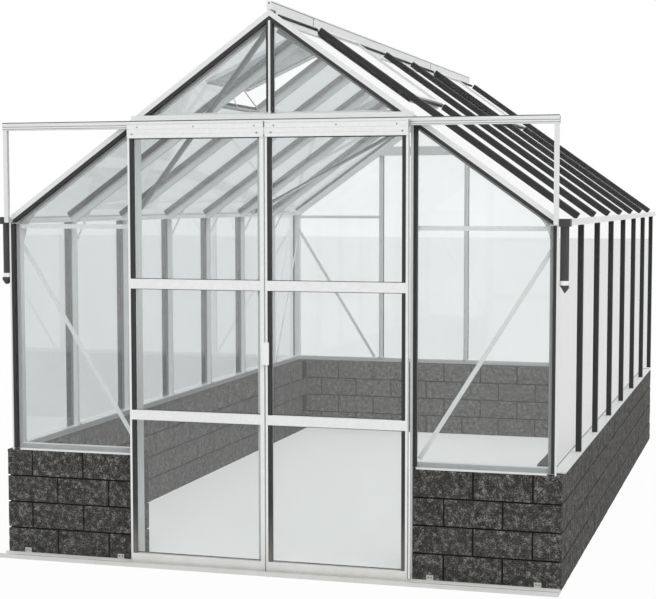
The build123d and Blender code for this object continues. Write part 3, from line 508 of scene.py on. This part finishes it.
nodeFinishes = {
    "frameMetal": (
        "gable_bars_front", "gable_bars_back", "wall_braces", "vent_frames", "rail_brackets",
        "track_clips", "left_door_hangers", "right_door_hangers", "knee_braces", "vent_stays",
    ),
    "leafMetal": ("left_door_frame", "right_door_frame"),
    "uprightMetal": ("corner_posts", "door_posts", "rail_end_posts"),
    "acrossMetal": ("rafters", "door_rail", "bottom_track", "sills"),
    "lengthMetal": ("ridge", "gutter_left", "gutter_right"),
    "sideBarMetal": ("side_bars_left", "side_bars_right"),
    "roofBarMetal": ("roof_bars_left", "roof_bars_right"),
    "shadedBraceMetal": ("roof_braces", "vent_transoms"),
    "blackPlastic": ("gable_caps", "left_door_strips", "right_door_strips"),
    "capStrip": ("side_caps",),
    "roofCapStrip": ("roof_caps",),
    "pipePlastic": ("downpipes", "pipe_spouts"),
    "whitePlastic": ("door_handle", "pipe_rings"),
    "frontGlass": ("glass_front", "glass_back", "left_door_glass", "right_door_glass"),
    "sideGlass": ("glass_left", "glass_right"),
    "roofGlass": ("glass_roof_left", "glass_roof_right"),
    "ventGlass": ("vent_glass",),
    "stone": ("wall_front_left", "wall_front_right", "wall_left", "wall_right", "wall_back"),
}
for finish, names in nodeFinishes.items():
    for nodeName in names:
        for slot in nodes[nodeName].material_slots:
            slot.material = finishes[finish]
print("finishes set on", sum(len(names) for names in nodeFinishes.values()), "nodes")


# helpers for new pieces

def addBlock(bm, low, high):
    low, high = Vector(low), Vector(high)
    place = Matrix.Translation((low + high) / 2) @ Matrix.Diagonal((*(high - low), 1.0))
    return bmesh.ops.create_cube(bm, size=1.0, matrix=place)["verts"]


def facesOf(verts):
    return {face for vert in verts for face in vert.link_faces}


def raiseFaces(bm, faces, move):
    raised = bmesh.ops.extrude_face_region(bm, geom=faces)["geom"]
    lifted = [item for item in raised if isinstance(item, bmesh.types.BMVert)]
    bmesh.ops.translate(bm, verts=lifted, vec=move)


def finishPiece(name, bm, materials, body, replaced=()):
    bmesh.ops.recalc_face_normals(bm, faces=bm.faces)
    mesh = bpy.data.meshes.new(name)
    bm.to_mesh(mesh)
    bm.free()
    for material in materials:
        mesh.materials.append(finishes[material])
    piece = bpy.data.objects.new(name, mesh)
    bpy.context.scene.collection.objects.link(piece)
    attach(piece, body)
    if replaced:
        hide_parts(*replaced)
    print(name, "has", len(mesh.polygons), "faces")
    return piece


blockWall = {
    "courses": 4,
    "jointWidth": 0.008,
    "jointDepth": 0.008,
    "faceRoughness": 0.0016,
    "roughScale": 38.0,
    "roughSeed": 1795615842,  # Blender takes its noise's seed from the clock unless one is set
    "edgeKept": 0.002,  # near foot and head nothing moves up or down, and the cores end below it
    "frontJointsOdd": (0.924, 1.185),  # second and fourth course from the ground
    "frontJointsEven": (0.795, 1.055),
    "sideBlocks": 17,
    "backBlocks": 10,
}


def buildWalls():
    frontLow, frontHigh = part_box("wall_front_right")
    backLow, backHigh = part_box("wall_back")
    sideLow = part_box("wall_right")[0]
    doorX, outerX, innerX = frontLow.x, frontHigh.x, sideLow.x
    front, frontInner, backInner, back = frontLow.y, frontHigh.y, backLow.y, backHigh.y
    height = frontHigh.z
    course = height / blockWall["courses"]
    half = blockWall["jointWidth"] / 2
    bm = bmesh.new()

    def addRow(xs, ys, row, trimX, trimY):
        # one block between two pairs of places, with half a joint taken off where it meets another
        foot = row * course + (half if row else 0)
        top = height if row == blockWall["courses"] - 1 else (row + 1) * course - half
        low = (xs[0] + (half if trimX[0] else 0), ys[0] + (half if trimY[0] else 0), foot)
        high = (xs[1] - (half if trimX[1] else 0), ys[1] - (half if trimY[1] else 0), top)
        addBlock(bm, low, high)

    def addBoth(xs, ys, row, trimX, trimY):
        addRow(xs, ys, row, trimX, trimY)
        addRow((-xs[1], -xs[0]), ys, row, (trimX[1], trimX[0]), trimY)

    for row in range(blockWall["courses"]):
        odd = row % 2 == 1
        if odd:
            places = [doorX, *blockWall["frontJointsOdd"]]
        else:
            places = [doorX, *blockWall["frontJointsEven"], outerX]
        for index in range(len(places) - 1):
            ends = (index > 0, index < len(places) - 2 or odd)
            xs = (places[index], places[index + 1])
            addBoth(xs, (front, frontInner), row, ends, (False, False))
        count = blockWall["sideBlocks"]
        if odd:
            pitch = (back - front) / count
            corner = places[-1]
            addBoth((corner, outerX), (front, front + pitch), row, (True, False), (False, True))
            addBoth((corner, outerX), (back - pitch, back), row, (True, False), (True, False))
            for index in range(1, count - 1):
                ys = (front + pitch * index, front + pitch * (index + 1))
                addBoth((innerX, outerX), ys, row, (False, False), (True, True))
            span = 2 * corner / (blockWall["backBlocks"] - 1)
            for index in range(blockWall["backBlocks"] - 1):
                xs = (-corner + span * index, -corner + span * (index + 1))
                addRow(xs, (backInner, back), row, (True, True), (False, False))
        else:
            pitch = (backInner - frontInner) / (count - 1)
            for index in range(count - 1):
                ys = (frontInner + pitch * index, frontInner + pitch * (index + 1))
                addBoth((innerX, outerX), ys, row, (False, False), (True, True))
            span = 2 * outerX / blockWall["backBlocks"]
            for index in range(blockWall["backBlocks"]):
                xs = (-outerX + span * index, -outerX + span * (index + 1))
                ends = (index > 0, index < blockWall["backBlocks"] - 1)
                addRow(xs, (backInner, back), row, ends, (False, False))
    bmesh.ops.subdivide_edges(bm, edges=bm.edges[:], cuts=4, use_grid_fill=True)
    kept = blockWall["edgeKept"]
    noise.seed_set(blockWall["roughSeed"])
    for vert in bm.verts:
        push = noise.noise_vector(vert.co * blockWall["roughScale"])
        push.z = push.z * 0.5 if kept < vert.co.z < height - kept else 0.0
        vert.co += push * blockWall["faceRoughness"]
    deep = blockWall["jointDepth"]
    cores = []
    for sign in (-1, 1):
        xs = sorted((sign * (doorX + deep), sign * (outerX - deep)))
        cores.append(((xs[0], front + deep, 0.0), (xs[1], frontInner - deep, height - kept)))
        xs = sorted((sign * (innerX + deep), sign * (outerX - deep)))
        cores.append(((xs[0], frontInner - deep, 0.0), (xs[1], backInner + deep, height - kept)))
    low = (-outerX + deep, backInner + deep, 0.0)
    cores.append((low, (outerX - deep, back - deep, height - kept)))
    for low, high in cores:
        for face in facesOf(addBlock(bm, low, high)):
            face.material_index = 1
    walls = ("wall_front_left", "wall_front_right", "wall_left", "wall_right", "wall_back")
    return finishPiece("blockWalls", bm, ("stone", "joint"), "house", walls)


buildWalls()


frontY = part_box("wall_front_right")[0].y
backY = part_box("wall_back")[1].y
barFace = 1.245  # inner face of the side bars
slope = {"ridgeLine": 2.506, "angle": math.atan(0.711)}
ventBays = (1, 5)


def slopeTurn(sign):
    # lays a flat drawing on the right (1) or left (-1) slope: X runs down it and Z stands off it
    cos, sin = math.cos(slope["angle"]), math.sin(slope["angle"])
    return Matrix((
        (sign * cos, 0.0, sign * sin, 0.0),
        (0.0, 1.0, 0.0, 0.0),
        (-sin, 0.0, cos, slope["ridgeLine"]),
        (0.0, 0.0, 0.0, 1.0),
    ))


def slopeBlock(bm, sign, along, across, lift):
    verts = addBlock(bm, (along[0], across[0], lift[0]), (along[1], across[1], lift[1]))
    bmesh.ops.transform(bm, matrix=slopeTurn(sign), verts=verts)


def addBar(bm, start, end, width, depth):
    # a straight bar between two points
    start, end = Vector(start), Vector(end)
    run = end - start
    turn = run.to_track_quat("Z", "Y").to_matrix().to_4x4()
    size = Matrix.Diagonal((width, depth, run.length, 1.0))
    bmesh.ops.create_cube(bm, size=1.0, matrix=Matrix.Translation((start + end) / 2) @ turn @ size)


def addScrew(bm, place, axis, radius, height, segments=10):
    turn = Vector(axis).to_track_quat("Z", "Y").to_matrix().to_4x4()
    matrix = Matrix.Translation(Vector(place) + Vector(axis) * height / 2) @ turn
    bmesh.ops.create_cone(
        bm, cap_ends=True, segments=segments,
        radius1=radius, radius2=radius * 0.7, depth=height, matrix=matrix,
    )


doorHead = {
    # top and foot of each band, down from the head of the leaf, and how far it stands out
    "bands": (
        (0.0, 0.007, 0.0030),
        (0.0095, 0.031, 0.0015),
        (0.033, 0.052, 0.0015),
        (0.0545, 0.070, 0.0025),
    ),
    "inset": 0.0012,
    "sunk": 0.001,
    "edge": 0.0007,
    "seat": 0.0015,  # how far the bands under the screws and bolts stand out
    "screwPlaces": (0.045, 0.33, 0.60),
    "screwDrop": 0.021,
    "screwRadius": 0.0042,
    "screwHeight": 0.0018,
    "boltPlaces": (0.033, 0.625),
    "boltDrop": 0.052,
    "boltRadius": 0.0055,
    "boltHeight": 0.0015,
}


def buildDoorHeads():
    look = doorHead
    for side, sign in (("left", -1), ("right", 1)):
        low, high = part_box(side + "_door_frame")
        bm = bmesh.new()
        for start, end, proud in look["bands"]:
            addBlock(
                bm,
                (low.x + look["inset"], low.y - proud, high.z - end),
                (high.x - look["inset"], low.y + look["sunk"], high.z - start),
            )
        bmesh.ops.bevel(
            bm, geom=bm.edges[:], offset=look["edge"], segments=1,
            profile=0.5, affect="EDGES", material=-1,
        )
        finishPiece(side + "HeadBands", bm, ("leafMetal",), side + "_door")
        screws = bmesh.new()
        seat = low.y - look["seat"]
        for place in look["screwPlaces"]:
            spot = (sign * place, seat, high.z - look["screwDrop"])
            addScrew(screws, spot, (0, -1, 0), look["screwRadius"], look["screwHeight"])
        for place in look["boltPlaces"]:
            spot = (sign * place, seat, high.z - look["boltDrop"])
            addScrew(screws, spot, (0, -1, 0), look["boltRadius"], look["boltHeight"])
        finishPiece(side + "HeadScrews", screws, ("screwMetal",), side + "_door")


doorSeals = {
    # foot and head of each dark line, measured from the ground
    "lines": (
        (0.058, 0.0625), (0.6705, 0.674), (0.718, 0.7205),
        (1.2675, 1.271), (1.315, 1.3175), (1.942, 1.946),
    ),
    "proud": 0.0022,
    "sunk": 0.0005,
}


def buildDoorSeals():
    for side in ("left", "right"):
        low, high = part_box(side + "_door_glass")
        bm = bmesh.new()
        for foot, head in doorSeals["lines"]:
            back = low.y + doorSeals["sunk"]
            addBlock(bm, (low.x, low.y - doorSeals["proud"], foot), (high.x, back, head))
        finishPiece(side + "PaneSeals", bm, ("blackPlastic",), side + "_door")


railTrim = {
    # foot and head of each lip, up from the foot of the rail, and how far it stands out
    "lips": ((0.0165, 0.032, 0.0015), (0.0, 0.0045, 0.0015), (0.0075, 0.0135, 0.0008)),
    # painted shadow: black lines under the lips and along the top, where the rail has shadow gaps
    "shadowLines": ((0.0148, 0.0165), (0.0045, 0.0062)),
    "shadowLineProud": 0.0004,
    "sunk": 0.0005,  # how far a lip or line reaches into the rail
    "topShadowLine": (0.0038, 0.0005, 0.006),  # height, and how far it stands out and reaches back
    "coverTop": 2.050,
    "coverFoot": 0.002,
    "coverInset": 0.013,
    "coverThickness": 0.003,
}


def buildRailTrim():
    look = railTrim
    low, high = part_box("door_rail")
    back = low.y + look["sunk"]
    bm = bmesh.new()
    for start, end, proud in look["lips"]:
        addBlock(bm, (low.x, low.y - proud, low.z + start), (high.x, back, low.z + end))
    postLow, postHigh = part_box("door_posts")
    inset, coverFront = look["coverInset"], high.y + look["sunk"]
    addBlock(
        bm,
        (postLow.x + inset, coverFront, low.z + look["coverFoot"]),
        (postHigh.x - inset, coverFront + look["coverThickness"], look["coverTop"]),
    )
    finishPiece("railLips", bm, ("acrossMetal",), "house")
    # painted shadow: black strips in the rail's shadow gaps
    dark = bmesh.new()
    for start, end in look["shadowLines"]:
        front = low.y - look["shadowLineProud"]
        addBlock(dark, (low.x, front, low.z + start), (high.x, back, low.z + end))
    height, proud, reach = look["topShadowLine"]
    addBlock(dark, (low.x, low.y - proud, high.z), (high.x, low.y + reach, high.z + height))
    finishPiece("railShadowLines", dark, ("blackPlastic",), "house")


pipeRibs = {
    "count": 22,
    "innerRadius": 0.0172,
    "outerRadius": 0.0189,
    "ringRadius": 0.0195,
    "gap": 0.0002,
    "collar": 0.003,
}


def buildPipeRibs():
    bm = bmesh.new()
    ringLow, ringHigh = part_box("pipe_rings")
    centreX = ringHigh.x - pipeRibs["ringRadius"]
    centreY = (ringLow.y + ringHigh.y) / 2
    foot = ringHigh.z + pipeRibs["gap"]
    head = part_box("gutter_right")[0].z - pipeRibs["collar"]
    proud = pipeRibs["outerRadius"] - pipeRibs["innerRadius"]
    for sign in (-1, 1):
        made = bmesh.ops.create_circle(
            bm, cap_ends=True, segments=pipeRibs["count"] * 2, radius=pipeRibs["innerRadius"],
            matrix=Matrix.Translation((sign * centreX, centreY, foot)),
        )["verts"]
        for index, vert in enumerate(made):
            if index % 2:
                away = Vector((vert.co.x - sign * centreX, vert.co.y - centreY, 0.0))
                vert.co += away.normalized() * proud
        raiseFaces(bm, list(facesOf(made)), (0.0, 0.0, head - foot))
    finishPiece("pipeRibs", bm, ("pipePlastic",), "house")


clipScrews = {
    "places": (-1.210, -0.735, 0.735, 1.210),
    "apart": 0.0068,
    "front": 0.003,
    "height": 0.020,
    "radius": 0.0030,
    "head": 0.0015,
}


def buildClipScrews():
    bm = bmesh.new()
    for place in clipScrews["places"]:
        for shift in (-1, 1):
            across, front = place + shift * clipScrews["apart"], frontY - clipScrews["front"]
            spot = (across, front, clipScrews["height"])
            addScrew(bm, spot, (0, -1, 0), clipScrews["radius"], clipScrews["head"])
    finishPiece("clipScrews", bm, ("blackPlastic",), "house")


ridgeTrim = {
    "halfWidth": 0.011,
    "lineHeight": 2.5362,
    "lineWidth": 0.0022,
    "lineProud": 0.0006,
    "lineInset": 0.001,
    "splices": (-1.52, 0.996),
    "spliceHalf": 0.0025,
    "spliceDrop": 0.006,
    "spliceProud": 0.0012,  # on the right, and on the left as thin as the line
    "bays": 7,
    # painted shadow: a dark strip across each bay where the glass runs under the ridge
    "footShadow": (0.036, 0.047),
    "footLift": (-0.0075, 0.004),
    "barHalf": 0.0135,
    "endClear": (0.035, 0.030),
    "screwHeight": 2.5335,
    "screwRadius": 0.0038,
    "screwHead": 0.002,
    "edge": (2.5385, 2.544),
    "edgeProud": (0.0003, 0.0016),
    "edgeInset": 0.0005,
}


def buildRidgeTrim():
    look = ridgeTrim
    half, spacing = look["halfWidth"], barLines["spacing"]
    line, lineTop = look["lineHeight"], look["lineHeight"] + look["lineWidth"]
    start, end = frontY + look["lineInset"], backY - look["lineInset"]
    bm = bmesh.new()
    for sign in (-1, 1):
        left, right = sorted((sign * half, sign * (half + look["lineProud"])))
        addBlock(bm, (left, start, line), (right, end, lineTop))
        spliceRight = half + look["spliceProud"] if sign > 0 else right
        for splice in look["splices"]:
            near, far = splice - look["spliceHalf"], splice + look["spliceHalf"]
            foot = slope["ridgeLine"] - look["spliceDrop"]
            addBlock(bm, (left, near, foot), (spliceRight, far, line))
        # painted shadow: a dark strip across each bay at the foot of the ridge
        for bay in range(look["bays"]):
            if bay in ventBays:
                continue
            near = frontY + spacing * bay
            far = near + spacing
            near += look["endClear"][0] if bay == 0 else look["barHalf"]
            far -= look["endClear"][1] if bay == look["bays"] - 1 else look["barHalf"]
            slopeBlock(bm, sign, look["footShadow"], (near, far), look["footLift"])
    for place, way in ((frontY, -1), (backY, 1)):
        spot = (0.0, place, look["screwHeight"])
        addScrew(bm, spot, (0, way, 0), look["screwRadius"], look["screwHead"])
    finishPiece("ridgeSealsAndShadows", bm, ("blackPlastic",), "house")
    plates = bmesh.new()
    foot, head = look["edge"]
    start, end = frontY + look["edgeInset"], backY - look["edgeInset"]
    for sign in (-1, 1):
        left, right = sorted(sign * (half + proud) for proud in look["edgeProud"])
        addBlock(plates, (left, start, foot), (right, end, head))
    finishPiece("ridgeEdge", plates, ("lengthMetal",), "house")


ventTrim = {
    "length": 0.560,
    "top": 0.0488,
    # painted shadow: a dark strip under the foot of each vent
    "footShadow": (0.0005, 0.010),
    "footClear": (0.015, 0.014),
    "footLift": (-0.0075, 0.006),
    "sideSeals": (-0.0195, 0.0170),
    "sideEnds": (0.05, 0.02),
    "sideLift": (-0.0078, -0.001),
    "sealHalf": 0.0012,
    "armWidth": 0.006,
    "armThickness": 0.003,
    "armHead": (-0.480, -1.318, 2.300),  # both ends of the arm on the first vent
    "armFoot": (-0.450, -0.942, 2.118),
}


def buildVentTrim():
    look = ventTrim
    half, spacing = look["sealHalf"], barLines["spacing"]
    end = look["top"] + look["length"]
    footAlong = (end + look["footShadow"][0], end + look["footShadow"][1])
    sideAlong = (look["sideEnds"][0], end - look["sideEnds"][1])
    bm = bmesh.new()
    for sign in (-1, 1):
        for bay in ventBays:
            near = frontY + spacing * bay
            far = near + spacing
            # painted shadow: a dark strip under the foot of the vent
            across = (near + look["footClear"][0], far - look["footClear"][1])
            slopeBlock(bm, sign, footAlong, across, look["footLift"])
            for shift in look["sideSeals"]:
                edge = near + shift
                slopeBlock(bm, sign, sideAlong, (edge - half, edge + half), look["sideLift"])
    finishPiece("ventSealsAndShadows", bm, ("blackPlastic",), "house")
    arms = bmesh.new()
    for bay in ventBays:
        shift = Vector((0.0, spacing * (bay - ventBays[0]), 0.0))
        head, foot = Vector(look["armHead"]) + shift, Vector(look["armFoot"]) + shift
        addBar(arms, head, foot, look["armWidth"], look["armThickness"])
    finishPiece("ventArms", arms, ("uprightMetal",), "house")


barBolts = {
    "bays": 7,
    "radius": 0.0062,
    "height": 0.006,
    "boltZ": 1.478,
    "shift": 0.0125,
    "plate": (0.022, 0.010, 0.012),
    "sillTop": 0.5232,
    "nutZ": 0.529,
    "nutRadius": 0.0045,
    "nutHeight": 0.004,
    "backPlaces": (-0.63, 0.0, 0.63),
    "backHalf": 0.011,
    "backDepths": (0.0775, 0.067),  # in from the back face
    "backHead": 0.535,
}


def buildBarBolts():
    look = barBolts
    bm = bmesh.new()
    width, depth, height = look["plate"]
    foot = look["sillTop"]
    for sign in (-1, 1):
        left, right = sorted((sign * barFace, sign * (barFace - depth)))
        for index in range(1, look["bays"]):
            place = frontY + barLines["spacing"] * index
            bolt = (sign * barFace, place + look["shift"], look["boltZ"])
            addScrew(bm, bolt, (-sign, 0, 0), look["radius"], look["height"], 6)
            addBlock(bm, (left, place - width / 2, foot), (right, place + width / 2, foot + height))
            nut = (sign * (barFace - depth), place, look["nutZ"])
            addScrew(bm, nut, (-sign, 0, 0), look["nutRadius"], look["nutHeight"], 6)
    half, (deep, shallow) = look["backHalf"], look["backDepths"]
    for place in look["backPlaces"]:
        high = (place + half, backY - shallow, look["backHead"])
        addBlock(bm, (place - half, backY - deep, foot), high)
    finishPiece("barBolts", bm, ("uprightMetal",), "house")


gussets = {
    "plate": 0.0025,
    "back": 0.0705,
    "corners": ((1.2445, 1.478), (1.2445, 1.561), (1.178, 1.6155), (1.226, 1.552)),
}


def buildGussets():
    bm = bmesh.new()
    for sign in (-1, 1):
        back = frontY + gussets["back"]
        verts = [bm.verts.new((sign * x, back, z)) for x, z in gussets["corners"]]
        raiseFaces(bm, [bm.faces.new(verts)], (0.0, -gussets["plate"], 0.0))
    finishPiece("cornerGussets", bm, ("frameMetal",), "house")


roofLegs = {
    "depth": 0.018,
    "plate": 0.0025,
    "shift": 0.0075,
    "under": -0.051,
    "ridgeHalf": 0.011,
    "clear": (0.06, 0.02),  # along the slope, from the ridge and from the eaves
    "start": 0.046,  # along the house, in from the gable
    "end": 1.2445,
}


def buildRoofLegs():
    # the roof braces are angles: one leg lies under the bars, the other hangs square to the slope
    look = roofLegs
    bm = bmesh.new()
    cos = math.cos(slope["angle"])
    head = look["ridgeHalf"] / cos + look["clear"][0]
    foot = barFace / cos - look["clear"][1]
    runs = (
        ((head, frontY + look["start"]), (foot, frontY + look["end"])),
        ((head, backY - look["start"]), (foot, backY - look["end"])),
    )
    for sign in (-1, 1):
        for start, end in runs:
            length = math.hypot(end[0] - start[0], end[1] - start[1])
            turn = Matrix.Rotation(math.atan2(end[1] - start[1], end[0] - start[0]), 4, "Z")
            low = (0.0, look["shift"], look["under"] - look["depth"])
            verts = addBlock(bm, low, (length, look["shift"] + look["plate"], look["under"]))
            place = slopeTurn(sign) @ Matrix.Translation((*start, 0.0)) @ turn
            bmesh.ops.transform(bm, matrix=place, verts=verts)
    finishPiece("roofBraceLegs", bm, ("shadedBraceMetal",), "house")


buildDoorHeads()
buildDoorSeals()
buildRailTrim()
buildPipeRibs()
buildClipScrews()
buildRidgeTrim()
buildVentTrim()
buildBarBolts()
buildGussets()
buildRoofLegs()


# stage, light and camera

stage = {
    "floorSize": 120.0,
    "floorDrop": 0.001,
    "floorWhite": 0.73,
    "ownLight": 0.95,  # share of the floor's own light, seen straight
    "ownLightInside": 0.42,  # and seen through glass
    "worldDiffuse": 0.68,
    "sunStrength": 1.5,
    "sunSpread": 35.0,
    "sunTurn": (42.0, 28.0),
}


def seenRays(tree):
    # 1 for the rays that carry the background into the picture
    rays = addNode(tree, "ShaderNodeLightPath")
    seen = addMath(tree, "MAXIMUM", rays.outputs["Is Camera Ray"], rays.outputs["Is Glossy Ray"])
    return addMath(tree, "MAXIMUM", seen, rays.outputs["Is Transmission Ray"])


def buildStage():
    bm = bmesh.new()
    bmesh.ops.create_grid(bm, x_segments=1, y_segments=1, size=stage["floorSize"] / 2)
    bmesh.ops.translate(bm, verts=bm.verts[:], vec=(0.0, 0.0, -stage["floorDrop"]))
    mesh = bpy.data.meshes.new("studioFloor")
    bm.to_mesh(mesh)
    bm.free()
    floor = bpy.data.objects.new("studioFloor", mesh)
    bpy.context.scene.collection.objects.link(floor)
    material, tree, shader, place = newMaterial("StudioFloor")
    white = stage["floorWhite"]
    wear = addRange(tree, addNoise(tree, place, 1.3, 3.0, 0.5), 0.3, 0.7)
    base = mixColours(tree, wear, (white, white, white), (white, white, white * 0.995))
    tree.links.new(base, shader.inputs["Base Color"])
    shader.inputs["Roughness"].default_value = 0.6
    glow = addNode(tree, "ShaderNodeEmission")
    mix = addNode(tree, "ShaderNodeMixShader")
    rays = addNode(tree, "ShaderNodeLightPath")
    through = addMath(tree, "MULTIPLY", rays.outputs["Is Transmission Ray"], stage["ownLightInside"])
    outside = addMath(tree, "MULTIPLY", rays.outputs["Is Camera Ray"], stage["ownLight"])
    tree.links.new(addMath(tree, "MAXIMUM", outside, through), mix.inputs[0])
    tree.links.new(shader.outputs[0], mix.inputs[1])
    tree.links.new(glow.outputs[0], mix.inputs[2])
    tree.links.new(mix.outputs[0], tree.nodes["Material Output"].inputs["Surface"])
    mesh.materials.append(material)

    world = bpy.data.worlds.new("StudioLight")
    world.use_nodes = True
    bpy.context.scene.world = world
    background = world.node_tree.nodes["Background"]
    background.inputs["Color"].default_value = (1.0, 1.0, 1.0, 1.0)
    tree = world.node_tree
    level = addRange(tree, seenRays(tree), 0.0, 1.0, stage["worldDiffuse"], 1.0)
    tree.links.new(level, background.inputs["Strength"])

    lamp = bpy.data.lights.new("softSun", "SUN")
    lamp.energy = stage["sunStrength"]
    lamp.angle = math.radians(stage["sunSpread"])
    sun = bpy.data.objects.new("softSun", lamp)
    sun.rotation_euler = (math.radians(stage["sunTurn"][0]), 0.0, math.radians(stage["sunTurn"][1]))
    bpy.context.scene.collection.objects.link(sun)


camera = {
    "focalPixels": 1537.7309,
    "centreX": 341.5324,
    "centreY": 315.5639,
    "place": (2.2083, -8.6272, 1.6679),
    "yaw": 16.1387,
    "pitch": -4.2788,
    "roll": 0.0004,
    "width": 656.0,
    "height": 599.0,
}


def buildCamera():
    data = bpy.data.cameras.new("photoCamera")
    data.sensor_fit = "HORIZONTAL"
    data.sensor_width = 36.0
    data.lens = camera["focalPixels"] * data.sensor_width / camera["width"]
    data.shift_x = (camera["width"] / 2 - camera["centreX"]) / camera["width"]
    data.shift_y = (camera["centreY"] - camera["height"] / 2) / camera["width"]
    eye = bpy.data.objects.new("photoCamera", data)
    eye.location = camera["place"]
    turn = Matrix.Rotation(math.radians(camera["yaw"]), 4, "Z")
    tilt = Matrix.Rotation(math.radians(90.0 + camera["pitch"]), 4, "X")
    roll = Matrix.Rotation(math.radians(camera["roll"]), 4, "Z")
    eye.rotation_euler = (turn @ tilt @ roll).to_euler()
    bpy.context.scene.collection.objects.link(eye)
    bpy.context.scene.camera = eye


buildStage()
buildCamera()
bpy.context.scene.view_settings.view_transform = "Standard"
print("stage, light and camera set")
